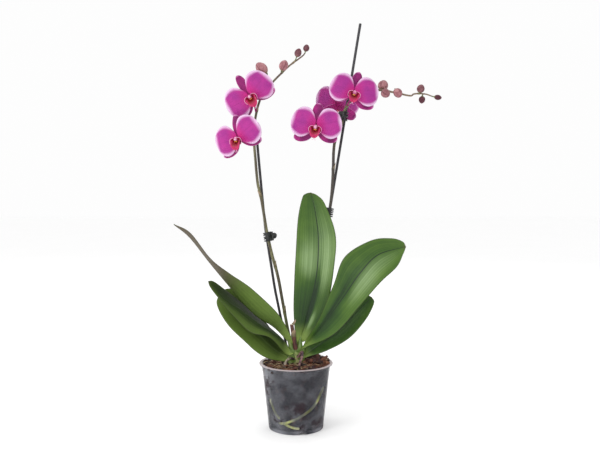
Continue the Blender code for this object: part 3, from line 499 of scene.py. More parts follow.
# Loose chips: a small block on each scattered spot, bent by noise into a different chip each time.
chips = Tree("loose chips", {"Spacing": "Float", "Length": "Float", "Lift": "Float", "Tilt": "Float",
                             "Seed": "Int", "Material": "Material"})
spots = chips.scatter()
block = chips.node("GeometryNodeMeshCube", {}, {"Size": (1, 0.40, 0.20), "Vertices X": 4, "Vertices Y": 3,
                                                "Vertices Z": 2})
turn = chips.node("ShaderNodeCombineXYZ", {}, {
    0: chips.chance(-1.0, 1.0, 3, "Tilt"), 1: chips.chance(-1.0, 1.0, 4, "Tilt"),
    2: chips.chance(0.0, 6.283, 5)})
grown = chips.chance(0.55, 1.35, 6, "Length")
placed = chips.node("GeometryNodeInstanceOnPoints", {}, {"Points": spots, "Instance": block,
                                                         "Rotation": turn, "Scale": grown})
placed = chips.node("GeometryNodeStoreNamedAttribute", {"data_type": "FLOAT", "domain": "INSTANCE"},
                    {0: placed, "Name": "tone", "Value": chips.chance(0.12, 0.95, 7)})
placed = chips.node("GeometryNodeRealizeInstances", {}, {0: placed})
rough = chips.node("ShaderNodeTexNoise", {}, {"Scale": 260.0, "Detail": 1.0}, 1)
rough = chips.node("ShaderNodeVectorMath", {"operation": "SUBTRACT"}, {0: rough, 1: (0.5, 0.5, 0.5)})
rough = chips.node("ShaderNodeVectorMath", {"operation": "SCALE"}, {0: rough, "Scale": 0.0085})
rise = chips.node("ShaderNodeCombineXYZ", {}, {2: "Lift"})
rough = chips.node("ShaderNodeVectorMath", {"operation": "ADD"}, {0: rough, 1: rise})
chips.close(chips.node("GeometryNodeSetPosition", {}, {0: placed, "Offset": rough}))


def bed_patch(name, low, high, from_degrees=0, to_degrees=360):
    """Part of the bark's top as a sheet to scatter things on, from one radius to another."""
    across, along = 12, 48
    spots = []
    for i in range(across + 1):
        for k in range(along + 1):
            spot = around(from_degrees + (to_degrees - from_degrees) * k / along,
                          low + (high - low) * i / across, 0)
            spots.append((spot.x, spot.y, bark_height(spot.x, spot.y)))
    return new_piece(name, spots, grid(across + 1, along + 1), bark)


# (from and to radius, and degrees where it is not the whole round), spacing, length, lift, tilt, seed
SCATTERS = {
    "bark_chips_fine": ((0.009, 0.0525), 0.0025, 0.0062, 0.0010, 0.6, 3),
    "bark_chips_coarse": ((0.012, 0.0500), 0.0062, 0.0115, 0.0020, 0.7, 11),
    "bark_chips_right": ((0.026, 0.0465, 65, 155), 0.0062, 0.0150, 0.0045, 1.0, 5),
}
for name, (patch_size, spacing, length, lift, lean, seed) in SCATTERS.items():
    heap = bed_patch(name, *patch_size)
    chips.grow(heap, Spacing=spacing, Length=length, Lift=lift, Tilt=lean, Seed=seed, Material=bark)
    heap.data.shade_flat()
    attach(heap, "plant_in_pot")

# Dry moss threads: short bent hairs among the chips.
dry_moss, where, _ = new_material("dry moss")
where.surface(where.clouds(160, 3).fade(0.35, 0.65).blend((0.20, 0.11, 0.05), (0.55, 0.43, 0.24)), 0.8,
              where.clouds(900), 0.0001)
threads = Tree("moss threads", {"Spacing": "Float", "Length": "Float", "Thickness": "Float",
                                "Seed": "Int", "Material": "Material"})
spots = threads.scatter()
arc = threads.node("GeometryNodeCurveQuadraticBezier", {}, {
    "Resolution": 8, "Start": (-0.5, 0, 0), "Middle": (0.05, 0.28, 0.34), "End": (0.5, -0.1, 0)})
spin = threads.node("FunctionNodeRandomValue", {"data_type": "FLOAT_VECTOR"},
                    {0: (-0.5, -0.5, 0), 1: (0.5, 0.5, 6.283), "Seed": 2})
grown = threads.chance(0.5, 1.3, 3, "Length")
hairs = threads.node("GeometryNodeInstanceOnPoints", {}, {"Points": spots, "Instance": arc,
                                                          "Rotation": spin, "Scale": grown})
threads.sweep(threads.node("GeometryNodeRealizeInstances", {}, {0: hairs}), 5, "Thickness")
MOSS_FROM, MOSS_TO, MOSS_RISE = 0.010, 0.048, 0.0026
moss = bed_patch("moss_threads", MOSS_FROM, MOSS_TO)
threads.grow(moss, Spacing=0.0075, Length=0.017, Thickness=0.00028, Seed=8, Material=dry_moss)
moss.data.transform(Matrix.Translation((0, 0, MOSS_RISE)))
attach(moss, "plant_in_pot")

# Stems: a round section swept along a line whose points carry their own thickness.
stems = Tree("stem along a line", {"Sides": "Int", "Material": "Material"})
thick = stems.node("GeometryNodeInputNamedAttribute", {"data_type": "FLOAT"}, {"Name": "thick"})
stems.sweep(stems.node("GeometryNodeMeshToCurve", {}, {0: "Geometry"}), "Sides", 1.0, Scale=thick)


def stem(name, lines, material, sides=12):
    """A piece of one or more round stems. Each line is (points, radii, tone)."""
    points, edges, marks = [], [], {"thick": [], "along": [], "tone": []}
    for path, radii, shade in lines:
        length = 0.0
        for k, (spot, radius) in enumerate(zip(path, radii)):
            if k:
                edges.append((len(points) - 1, len(points)))
                length += (spot - path[k - 1]).length
            points.append(spot)
            marks["thick"].append(radius)
            marks["along"].append(length)
            marks["tone"].append(shade)
    mesh = bpy.data.meshes.new(name)
    mesh.from_pydata([tuple(p) for p in points], edges, [])
    for mark, values in marks.items():
        mesh.attributes.new(mark, "FLOAT", "POINT").data.foreach_set("value", values)
    made = bpy.data.objects.new(name, mesh)
    made.data.materials.append(material)
    bpy.context.scene.collection.objects.link(made)
    stems.grow(made, Sides=sides, Material=material)
    made.data.shade_smooth()
    made.data.set_sharp_from_angle(angle=math.radians(60))
    return made


green_root, where, _ = new_material("green root")
speck = where.clouds(420, 3)
patch = where.clouds(70, 2)
colour = patch.fade(0.42, 0.6).blend((0.62, 0.66, 0.12), (0.86, 0.88, 0.50))
where.surface(speck.fade(0.55, 0.7).blend(colour, (0.36, 0.40, 0.10)), 0.6, speck, 0.0003)
for name, path in wall_root_paths.items():
    ends = [min(1, 0.35 + k / 5, 0.35 + (len(path) - 1 - k) / 5) for k in range(len(path))]
    radii = [WALL_ROOT_R * (1 + 0.10 * noise.noise(p * 260)) * end for p, end in zip(path, ends)]
    root = stem(name + "_look", [(path, radii, 0.5)], green_root)
    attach(root, "plant_in_pot")
    if name != "wall_root_low":
        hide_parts(name)

# ---------------------------------------------------------------- the crown and the roots in the air
# The short fleshy stem that everything grows from, ringed by the scars and papery remains of old leaf
# bases. Two roots leave it above the bark and bend down into it: one dark purple, one dry and grey.

CROWN_FOOT, CROWN_TOP, CROWN_R = BARK_TOP - 0.0155, BARK_TOP + 0.0385, 0.0080
CROWN_SHAPE = ((0, 0.45), (0.15, 0.85), (0.37, 1.0), (0.63, 1.0), (0.85, 0.9), (1, 0.5))  # (rise, radius)
CROWN_ROWS, AERIAL_R, AERIAL_POINTS = 48, 0.0021, 64


def plant(x, y, z):
    """A point of the plant, given in mm from the middle of the pot's rim."""
    return Vector((x, y, z)) * 0.001 + Vector((0, 0, POT_HEIGHT))


def crown_radius(height):
    rise = (height - CROWN_FOOT) / (CROWN_TOP - CROWN_FOOT)
    for (low, a), (high, b) in zip(CROWN_SHAPE, CROWN_SHAPE[1:]):
        if rise <= high:
            return CROWN_R * (a + (b - a) * (rise - low) / (high - low))
    return CROWN_R * CROWN_SHAPE[-1][1]


def on_crown(degrees, height, out=0.0):
    """A point on the crown's side, or this far out from it. Height is in mm above the pot's rim."""
    height = POT_HEIGHT + height * 0.001
    return around(degrees, crown_radius(height) + out, height)


crown_skin, where, _ = new_material("crown")
scars = where.stretched(1, 1, 4).clouds(140, 3)
high = where.part(2).fade(POT_HEIGHT, POT_HEIGHT + 0.03)
colour = high.blend((0.30, 0.30, 0.12), (0.20, 0.33, 0.07))
where.surface(scars.fade(0.52, 0.68).blend(colour, (0.20, 0.10, 0.05)), 0.5, scars, 0.0006)
path, radii = [], []
for k in range(CROWN_ROWS + 1):
    height = CROWN_FOOT + (CROWN_TOP - CROWN_FOOT) * k / CROWN_ROWS
    path.append(Vector((0, 0, height)))
    ring = abs(math.sin(math.pi * k / 7))
    radii.append(crown_radius(height) * (0.95 + 0.06 * ring) * (0.55 if k == CROWN_ROWS else 1))
crown = stem("crown_look", [(path, radii, 0.5)], crown_skin, 40)
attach(crown, "plant_in_pot")
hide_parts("crown")

AERIAL_ROOTS = {
    "aerial_root_right": ((23, 11), [(7.5, -15.5, 18), (10.5, -19, 20), (9, -22, 12), (6, -24, 3),
                                     (5, -25, -9)], (0.050, 0.018, 0.030), (0.30, 0.17, 0.15)),
    "aerial_root_left": ((-21, 7), [(-9, -17, 10), (-15, -22, 7), (-18, -25, 0), (-18, -26, -9)],
                         (0.030, 0.017, 0.013), (0.33, 0.28, 0.20)),
}
for name, ((degrees, height), spots, dark, pale) in AERIAL_ROOTS.items():
    skin, where, _ = new_material(name.replace("_", " "))
    cracks = where.clouds(330, 4, 0.7)
    tip = where.clouds(110, 2).fade(0.44, 0.60)
    where.surface((tip * cracks.fade(0.35, 0.5)).blend(dark, pale), 0.55, cracks, 0.0005)
    start = on_crown(degrees, height, 0.0024)
    path = smooth_path([start - Vector((start.x, start.y, 0)) * 0.25, start,
                        *[plant(*p) for p in spots]], AERIAL_POINTS)
    radii = [AERIAL_R * (1 + 0.16 * noise.noise(p * 330)) * (0.75 if k > AERIAL_POINTS - 3 else 1)
             for k, p in enumerate(path)]
    root = stem(name + "_look", [(path, radii, 0.5)], skin, 20)
    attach(root, "plant_in_pot")
    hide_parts(name)

# ---------------------------------------------------------------- the six leaves
# Thick, leathery, strap-shaped leaves that clasp the crown. Each is folded along a sunk midrib, thins to
# a narrow purple-brown margin, and has fine veins that run its length. The upper side is glossy, the
# under side paler and dull.

LEAF_ROWS, LEAF_COLUMNS, LEAF_HALF_THICK, LEAF_WRAP = 84, 28, 0.0010, 42
SHEATH_POINTS, SHEATH_R = 30, 0.0060
# Each leaf: where it leaves the crown as (degrees, mm above the rim); its midrib, front edge and back edge
# in mm from the rim's middle; how light it is; 1 where the far end is purplish brown; and its areas of
# painted highlight, pale (over 0), and of painted shade, deep green (under 0), as (across, along, half
# width, half length, strength).
LEAVES = {
    "leaf_upright": (
        (48, 32), [(21, -13, 88), (33, -18, 145), (36, -17, 201), (31, -8, 246), (24, 6, 277)],
        [(-1, -13, 45), (-4, -20, 97), (-1, -25, 167), (3, -18, 233), (10, -4, 268), (16, 3, 275)],
        [(21, -13, 42), (48, -20, 89), (61, -26, 160), (63, -22, 211), (47, -4, 258), (35, 4, 272)],
        0.50, 0, ((-0.45, 0.54, 0.45, 0.12, 0.85), (0.5, 0.52, 0.5, 0.19, 0.8), (0.38, 0.17, 0.2, 0.07, 1.1),
                  (0.3, 0.78, 1.2, 0.2, 0.28), (-0.5, 0.22, 0.7, 0.16, -0.7),
                  (0.12, 0.28, 0.13, 0.20, -1.3), (0.9, 0.2, 0.3, 0.2, -0.4))),
    "leaf_right_broad": (
        (70, 20), [(46, -24, 70), (76, -34, 113), (101, -37, 150), (130, -34, 179), (175, -26, 191)],
        [(19, -14, 29), (62, -33, 53), (96, -44, 94), (132, -46, 136), (159, -37, 160), (170, -31, 180)],
        [(17, -17, 41), (38, -30, 79), (59, -38, 131), (77, -37, 176), (119, -27, 201), (152, -19, 204),
         (170, -20, 199)], 0.55, 0, ((-0.4, 0.64, 0.4, 0.28, 0.75), (-0.3, 0.26, 0.4, 0.2, -0.9),
                                     (0.2, 0.38, 0.22, 0.25, -0.9), (0.8, 0.5, 0.3, 0.3, -0.3))),
    "leaf_right_low": (
        (98, 6), [(36, 3, 26), (69, 5, 50), (100, 6, 81), (124, 4, 106)],
        [(18, -4, 9), (52, -8, 21), (87, -10, 42), (113, -8, 71), (127, -2, 97)],
        [(13, 6, 20), (39, 10, 44), (76, 16, 83), (105, 12, 108), (117, 8, 109)], 0.50, 0,
        ((0.4, 0.6, 0.3, 0.14, 0.7), (-0.6, 0.4, 0.5, 0.3, -0.3))),
    "leaf_left_long": (
        (-62, 30), [(-34, -16, 61), (-67, -25, 85), (-102, -28, 125), (-136, -28, 166), (-168, -26, 206),
                    (-194, -24, 227)],
        [(-9, -13, 47), (-32, -26, 88), (-69, -38, 125), (-103, -44, 150), (-134, -46, 175),
         (-166, -38, 214)],
        [(-9, 4, 44), (-31, 6, 75), (-65, 4, 106), (-104, 0, 140), (-139, -4, 171),
         (-170, -10, 212)], 0.55, 1, ((-0.6, 0.32, 0.5, 0.14, 0.3), (0.7, 0.3, 0.4, 0.25, -0.3))),
    "leaf_left_mid": (
        (-52, 16), [(-29, -21, 44), (-57, -33, 66), (-88, -39, 91), (-113, -42, 110), (-138, -40, 138)],
        [(-15, -16, 16), (-41, -44, 49), (-71, -58, 61), (-102, -59, 92), (-126, -50, 119),
         (-135, -46, 131)],
        [(-13, -4, 27), (-29, -4, 46), (-62, -5, 74), (-91, -8, 101), (-118, -24, 126),
         (-131, -34, 137)], 0.40, 0, ((0.5, 0.50, 0.6, 0.36, -1.9), (-0.7, 0.40, 0.4, 0.3, 0.4))),
    "leaf_left_low": (
        (-88, 4), [(-39, -8, 26), (-66, -13, 55), (-93, -15, 86), (-120, -12, 118)],
        [(-21, -8, 3), (-54, -24, 15), (-82, -35, 42), (-109, -34, 69), (-127, -20, 99)],
        [(-14, 5, 14), (-39, 6, 50), (-69, 8, 89), (-96, 2, 117), (-111, -4, 121)], 0.58, 0,
        ((-0.8, 0.35, 0.4, 0.3, 0.5), (0.5, 0.5, 0.6, 0.35, -1.1))),
}

leaf_skin, where, spread = new_material("glossy leaf")
across, along = spread.part(0), spread.part(1)
off_rib = across.off_middle()
upper = where.mark("upper")
tone = where.mark("tone")
veins = spread.stretched(34, 0.9, 1).clouds(1.0, 2, 0.4)
fine = spread.stretched(110, 1.6, 1).clouds(1.0, 1)
mottle = where.clouds(38, 3)
# Painted light and shade: each point's mark, over 0 a painted highlight and under 0 painted shade, lightens
# or darkens the green.
wash = where.mark("wash")
lit = tone + 0.30 * (mottle - 0.5) + 0.42 * (veins - 0.5) + 0.20 * off_rib - 0.10 + 0.34 * wash
green = lit.node("ShaderNodeValToRGB", {"stops": (
    (0.10, (0.008, 0.026, 0.006)), (0.42, (0.026, 0.072, 0.009)), (0.70, (0.066, 0.135, 0.016)),
    (1.0, (0.140, 0.235, 0.034)))}, {0: lit})
# Painted highlight: where the painted light mark is high the green turns pale along the veins, like a glossy
# reflection.
painted_highlight = wash.fade(0.05, 1.05) * (0.52 + 1.2 * (veins - 0.5))
green = painted_highlight.blend(green, (0.30, 0.42, 0.22))
blush = where.mark("blush")
under = lit.fade(0.10, 0.85).blend((0.018, 0.036, 0.005), (0.098, 0.162, 0.024))
under = (blush * along.fade(0.42, 0.66)).blend(under, (0.080, 0.064, 0.040))
green = upper.blend(under, green)
green = along.fade(0.16, 0.02).blend(green, (0.24, 0.34, 0.08))
# Painted shade: a dark line along the sunk midrib on the upper side.
green = (off_rib.fade(0.045, 0.012) * upper).blend(green, (0.008, 0.022, 0.008))
green = (along.fade(0.965, 1.0) * 0.7).blend(green, (0.070, 0.070, 0.022))
green = (off_rib.fade(0.965, 1.0) * 0.8).blend(green, (0.030, 0.028, 0.012))
where.surface(green, 0.27 + 0.30 * (1 - upper) + 0.16 * (fine - 0.3) + 0.10 * mottle,
              veins * 0.6 + fine * 0.4, 0.0004, Specular_IOR_Level=0.28)


def even_points(points, shares):
    """Points at these shares of the length of the smooth curve through points."""
    fine = smooth_path(points, 40 * (len(points) - 1) + 1)
    lengths = [0.0]
    for a, b in zip(fine, fine[1:]):
        lengths.append(lengths[-1] + (b - a).length)
    found, k = [], 1
    for share in shares:
        while k < len(fine) - 1 and lengths[k] < share * lengths[-1]:
            k += 1
        part = (share * lengths[-1] - lengths[k - 1]) / (lengths[k] - lengths[k - 1])
        found.append(fine[k - 1].lerp(fine[k], part))
    return found


def two_sided(rows, depths, start=0):
    """Points and faces of a closed sheet. depths holds the (over, under) thickness at each point."""
    count, width = len(rows), len(rows[0])
    over, under, normal = [], [], Vector((0, 0, 1))
    for r, row in enumerate(rows):
        before, after = rows[max(r - 1, 0)], rows[min(r + 1, count - 1)]
        for c, spot in enumerate(row):
            across = row[min(c + 1, width - 1)] - row[max(c - 1, 0)]
            found = across.cross(after[c] - before[c])
            normal = found.normalized() if found.length > 1e-11 else normal
            up, down = depths[r][c]
            over.append(spot + normal * up)
            under.append(spot - normal * down)
    total, faces = count * width, []
    for r in range(count - 1):
        for c in range(width - 1):
            a = start + r * width + c
            faces.append((a, a + 1, a + width + 1, a + width))
            faces.append((total + a, total + a + width, total + a + width + 1, total + a + 1))
    edge = [(0, c) for c in range(width)] + [(r, width - 1) for r in range(1, count)]
    edge += [(count - 1, c) for c in range(width - 2, -1, -1)] + [(r, 0) for r in range(count - 2, 0, -1)]
    for (r0, c0), (r1, c1) in zip(edge, edge[1:] + edge[:1]):
        a, b = start + r0 * width + c0, start + r1 * width + c1
        faces.append((b, a, total + a, total + b))
    return over + under, faces


sheaths = []
for name, (foot, midrib, front, back, shade, blush, light_patches) in LEAVES.items():
    degrees, height = foot
    turn = LEAF_WRAP if degrees < 0 else -LEAF_WRAP
    tip = plant(*midrib[-1])
    stations = [1 - (1 - k / LEAF_ROWS) ** 1.5 for k in range(LEAF_ROWS)] + [0.9985]
    rails = (
        [on_crown(degrees + turn, height, 0.0017), *[plant(*p) for p in front], tip],
        [on_crown(degrees, height, 0.0013), *[plant(*p) for p in midrib]],
        [on_crown(degrees - turn, height, 0.0017), *[plant(*p) for p in back], tip],
    )
    rows, depths, uvs, painted_lights = [], [], [], []
    for station, a, m, b in zip(stations, *(even_points(rail, stations) for rail in rails)):
        row, depth = [], []
        sink = m - (a + b) / 2
        for c in range(LEAF_COLUMNS + 1):
            u = 2 * c / LEAF_COLUMNS - 1
            u = math.copysign(abs(u) ** 1.15, u)
            bulge = sink * 0.35 * abs(u) * (1 - abs(u))
            spot = m.lerp(a if u < 0 else b, abs(u)) + bulge
            wave = 0.0007 * abs(u) ** 3 * math.sin(station * 19 + (2 if u < 0 else 0)) * (1 - station)
            row.append(spot + (sink.normalized() if sink.length > 1e-6 else Vector()) * wave)
            full = LEAF_HALF_THICK * (1 - 0.72 * abs(u) ** 4) * (1 - 0.5 * station)
            rib = math.exp(-(u / 0.05) ** 2) * (1 - 0.6 * station)
            depth.append((full, full, rib))
            uvs.append(((u + 1) / 2, station))
            painted_lights.append(sum(
                strength * math.exp(-((u - across) / wide) ** 2 - ((station - along) / long) ** 2)
                for across, along, wide, long, strength in light_patches))
        rows.append(row)
        depths.append(depth)
    lean = 0.0
    for r in range(4, LEAF_ROWS - 4, 4):
        rib_spot = rows[r][LEAF_COLUMNS // 2]
        normal = (rows[r][-1] - rows[r][0]).cross(rows[r + 1][LEAF_COLUMNS // 2] - rib_spot)
        lean += normal.dot(rib_spot - (rows[r][0] + rows[r][-1]) / 2)
    over_is_upper = lean < 0
    for depth in depths:
        for c, (up, down, rib) in enumerate(depth):
            groove, ridge = -0.0006 * rib, 0.0013 * rib
            depth[c] = (up + groove, down + ridge) if over_is_upper else (up + ridge, down + groove)
    count = len(uvs)
    sides = [float(over_is_upper)] * count + [float(not over_is_upper)] * count
    line = smooth_path([on_crown(degrees, height - 13, -0.004), on_crown(degrees, height - 5, 0.0004),
                        *even_points(rails[1], [0.025, 0.055])], SHEATH_POINTS)
    girths = [SHEATH_R * (1 - 0.9 * (k / (SHEATH_POINTS - 1)) ** 1.6) for k in range(SHEATH_POINTS)]
    sheaths.append((line, girths, shade))
    points, faces = two_sided(rows, depths)
    leaf = new_piece(name + "_look", points, faces, leaf_skin, uvs * 2, upper=sides,
                     tone=[shade] * len(points), blush=[blush] * len(points), wash=painted_lights * 2)
    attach(leaf, "plant_in_pot")
    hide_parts(name)

# The fleshy sheath under each leaf's foot, all in one piece round the crown.
sheath_skin, where, _ = new_material("leaf sheath")
streaks = where.stretched(1, 1, 0.3).clouds(240, 3)
soft = where.clouds(70, 2)
colour = soft.fade(0.35, 0.65).blend((0.105, 0.185, 0.035), (0.200, 0.270, 0.070))
where.surface((streaks.fade(0.56, 0.72) * 0.6).blend(colour, (0.13, 0.10, 0.045)), 0.38, streaks, 0.0002)
sheath = stem("leaf_sheaths", sheaths, sheath_skin, 28)
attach(sheath, "plant_in_pot")

# ---------------------------------------------------------------- the two flower spikes
# Long round stalks, olive brown below and purplish near the flowers. A slight swelling marks each node,
# and a small dry bract, a pointed scale that hugs the stalk, sits on it.

SPIKE_POINTS, SPIKE_FOOT_R, SPIKE_TIP_R, NODE_SWELL = 291, 0.0026, 0.0010, 0.00042
BRACT_STEPS, BRACT_HALF_THICK = 8, 0.00014
# Each spike: (degrees, mm above the rim) where it leaves the crown; its line in mm from the rim's middle;
# and its nodes as (share of its length, degrees from the front that the bract faces).
SPIKES = {
    "flower_spike_left": (
        (-156, 13), [(-12, 13, 43), (-24, 15, 107), (-30, 17, 139), (-38, 18, 168), (-44, 18, 193),
                     (-50, 18, 223), (-57, 17, 267), (-63, 16, 293), (-66, 15, 327), (-68, 13, 353),
                     (-68, 11, 380), (-64, 9, 407), (-55, 7, 434), (-38, 4, 454), (-25, 2, 467),
                     (-13, 0, 478), (-4, -1, 485), (9, -2, 494), (14, -3, 499)],
        ((0.13, 90), (0.275, 95), (0.50, -60), (0.665, 30), (0.765, 20), (0.84, -60), (0.91, -50),
         (0.955, -40))),
    "flower_spike_right": (
        (156, 14), [(14, 14, 63), (31, 20, 131), (46, 23, 193), (55, 24, 245), (59, 24, 276), (61, 24, 313),
                    (62, 24, 346), (66, 25, 371), (75, 27, 390), (78.5, 27.8, 408), (86, 24.5, 422),
                    (97, 18, 433), (112, 12, 440), (137, 5, 442), (152, 2, 439), (167, 0, 436),
                    (183, -1, 432), (190, -2, 435), (205, -4, 435), (217, -6, 431)],
        ((0.16, -70), (0.36, 80), (0.545, 100), (0.625, 0), (0.74, 0), (0.86, -10), (0.895, 30),
         (0.963, 60))),
}

stalk_skin, where, _ = new_material("flower stalk")
along = where.mark("along")
flecks = where.clouds(520, 3)
blotches = where.stretched(1, 1, 0.3).clouds(60, 2)
sunny = where.maths("SINE", where.part(0) * 900) * 0.1 + blotches
colour = sunny.fade(0.35, 0.65).blend((0.060, 0.050, 0.022), (0.150, 0.145, 0.060))
colour = along.fade(0.10, 0.0).blend(colour, (0.12, 0.16, 0.045))
colour = along.fade(0.42, 0.52).blend(colour, blotches.fade(0.4, 0.6).blend((0.10, 0.045, 0.035),
                                                                          (0.19, 0.13, 0.08)))
shaded = where.mark("tone")
shaded = shaded * along.fade(0.17, 0.22) * along.fade(0.37, 0.32)
colour = shaded.blend(colour, (0.022, 0.016, 0.014))
where.surface(flecks.fade(0.55, 0.68).blend(colour, (0.055, 0.022, 0.022)), 0.42, flecks, 0.00015)

bract_skin, where, spread = new_material("dry bract")
lines = spread.stretched(16, 1, 1).clouds(1.0, 2)
colour = spread.part(1).fade(0.1, 0.8).blend((0.12, 0.10, 0.045), (0.33, 0.24, 0.15))
where.surface(lines.fade(0.5, 0.7).blend(colour, (0.10, 0.05, 0.035)), 0.6, lines, 0.0002)


def on_path(path, share):
    """The point at a share of a path's length, and the way along it there."""
    lengths = [0.0]
    for a, b in zip(path, path[1:]):
        lengths.append(lengths[-1] + (b - a).length)
    target = share * lengths[-1]
    k = max(sum(length < target for length in lengths), 1)
    part = (target - lengths[k - 1]) / (lengths[k] - lengths[k - 1])
    return path[k - 1].lerp(path[k], part), (path[k] - path[k - 1]).normalized()


def bract(foot, along, facing, radius, length, start):
    """Points, faces and UVs of a pointed scale on a stalk, on the side that facing names."""
    side = (facing - along * facing.dot(along)).normalized()
    across = along.cross(side)
    rows, depths, uvs = [], [], []
    for r in range(BRACT_STEPS + 1):
        at = r / BRACT_STEPS
        half = math.radians(112) * (1 - at**1.6)
        out = radius + 0.00028 + 0.0011 * at**2 * length / 0.010
        row = []
        for c in range(BRACT_STEPS + 1):
            angle = half * (2 * c / BRACT_STEPS - 1)
            row.append(foot + along * (at * length) + side * (out * math.cos(angle))
                       + across * (out * math.sin(angle)))
            uvs.append((c / BRACT_STEPS, at))
        rows.append(row)
        depths.append([(BRACT_HALF_THICK, BRACT_HALF_THICK)] * len(row))
    points, faces = two_sided(rows, depths, start)
    return points, faces, uvs * 2


spike_paths = {}
for name, ((degrees, height), spots, nodes) in SPIKES.items():
    coarse = smooth_path([on_crown(degrees, height, 0.0035), *[plant(*p) for p in spots]], 30)
    path = smooth_path(coarse, SPIKE_POINTS)
    radii = [SPIKE_FOOT_R - (SPIKE_FOOT_R - SPIKE_TIP_R) * (k / (SPIKE_POINTS - 1)) ** 2
             for k in range(SPIKE_POINTS)]
    spike_paths[name] = path
    swollen = list(radii)
    points, faces, uvs = [], [], []
    for share, degrees in nodes:
        foot, forward = on_path(path, share)
        near = min(range(SPIKE_POINTS), key=lambda k: (path[k] - foot).length)
        for k in range(max(near - 6, 0), min(near + 7, SPIKE_POINTS)):
            swollen[k] += NODE_SWELL * math.exp(-((path[k] - foot).length / 0.0021) ** 2)
        size = 0.0115 if share < 0.6 else 0.0062 if share < 0.8 else 0.0044
        found = bract(foot, forward, around(degrees, 1, 0), radii[near], size, len(points))
        points += found[0]
        faces += found[1]
        uvs += found[2]
    for k, share in ((0, 1.5), (1, 1.3), (-1, 0.7)):
        swollen[k] *= share
    in_shade = 0.9 * (name == "flower_spike_right")
    spike = stem(name + "_look", [(path, swollen, in_shade)], stalk_skin, 20)
    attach(spike, "plant_in_pot")
    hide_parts(name)
    scales = new_piece(name + "_bracts", points, faces, bract_skin, uvs)
    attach(scales, "plant_in_pot")

# ---------------------------------------------------------------- the two support sticks
# Straight-grained sticks with a near-black plastic skin, pushed down into the bark. The left one is
# bent along its spike; the right one stands straight and stops well above the flowers.

STICK_R, STICK_FOOT, STICK_POINTS = 0.0022, 0.0162, 121
# Each stick: where its foot stands, in mm from the pot's middle, and its line in mm from the rim's middle.
STICKS = {
    "support_stick_left": ((-3, 15), [(-12, 16, -2), (-27, 20, 77), (-36, 23, 122), (-43, 24, 168),
                                      (-49, 24, 205), (-53, 23.5, 240), (-61, 21.5, 327), (-64, 20, 363)]),
    "support_stick_right": ((1, 22), [(106, 36, 555)]),
}
stick_skin, where, _ = new_material("stick skin")
grain = where.stretched(1, 1, 0.06).clouds(900, 3)
scuff = where.clouds(150, 3)
high = where.part(2).fade(0.45, 0.60)
colour = high.blend((0.008, 0.006, 0.010), (0.022, 0.022, 0.026))
where.surface((scuff.fade(0.55, 0.75) * grain).blend(colour, (0.075, 0.070, 0.070)), 0.36 + 0.2 * scuff,
              grain, 0.0002)
for name, ((x, y), spots) in STICKS.items():
    path = [Vector((x * 0.001, y * 0.001, STICK_FOOT)), *[plant(*p) for p in spots]]
    path = smooth_path(smooth_path(path, 12), STICK_POINTS) if len(path) > 2 else [
        path[0].lerp(path[1], k / (STICK_POINTS - 1)) for k in range(STICK_POINTS)]
    top = path[-1] - path[-2]
    path = path[:-1] + [path[-1] - top * share for share in (0.22, 0.08, 0.0)]
    radii = [STICK_R] * STICK_POINTS + [0.0020, 0.0014]
    stick = stem(name + "_look", [(path, radii, 0.5)], stick_skin, 20)
    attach(stick, "plant_in_pot")
    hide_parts(name)

# ---------------------------------------------------------------- the old flower spike's stub
# What was left when last year's spike was cut: a dry purple-brown stump with a pale cut end, one node
# ring low down, and a straw-coloured bract beside the cut.

STUB_POINTS, STUB_FOOT_R, STUB_TIP_R, STUB_NODE, STUB_CUT = 60, 0.0036, 0.0027, 24, 0.0652

stub_skin, where, _ = new_material("dry stub")
rough = where.stretched(1, 1, 0.25).clouds(260, 4, 0.65)
high = where.part(2).fade(POT_HEIGHT + STUB_CUT, POT_HEIGHT + STUB_CUT + 0.0008)
colour = rough.fade(0.35, 0.65).blend((0.028, 0.009, 0.009), (0.120, 0.042, 0.030))
where.surface(high.blend(colour, rough.blend((0.60, 0.50, 0.34), (0.85, 0.80, 0.66))), 0.7, rough, 0.0005)
path = smooth_path([on_crown(-5, 24, 0.0024), plant(-3, -17, 42), plant(-6, -20, 60),
                    plant(-7, -20.5, 66.2)], STUB_POINTS)
radii = [(STUB_FOOT_R - (STUB_FOOT_R - STUB_TIP_R) * k / (STUB_POINTS - 1))
         * (1 + 0.10 * math.exp(-((k - STUB_NODE) / 2.2) ** 2)) * (1 + 0.07 * noise.noise(p * 300))
         for k, p in enumerate(path)]
radii[-1] *= 0.86
stub = stem("old_spike_look", [(path, radii, 0.5)], stub_skin, 24)
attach(stub, "plant_in_pot")
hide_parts("old_spike_stub")
straight = (path[STUB_NODE + 2] - path[STUB_NODE - 2]).normalized()
first = bract(path[STUB_NODE], straight, Vector((0.5, -1, 0)), 0.0037, 0.013, 0)
aside = ((path[52] - path[46]).normalized() + Vector((0.9, 0, -0.2))).normalized()
second = bract(path[50], aside, Vector((0.3, -0.6, 1)), 0.0016, 0.012, len(first[0]))
scales = new_piece("old_spike_bracts", first[0] + second[0], first[1] + second[1], bract_skin,
                   first[2] + second[2])
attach(scales, "plant_in_pot")

# ---------------------------------------------------------------- the five flowers
# Each flower: two broad velvety petals with white margins over three narrower, darker sepals, on a
# short stalk that leaves the spike. In the middle a waxy crimson lip cups the pale column, with a side
# lobe on either hand, a yellow and red throat, and two thin tendrils at its tip.

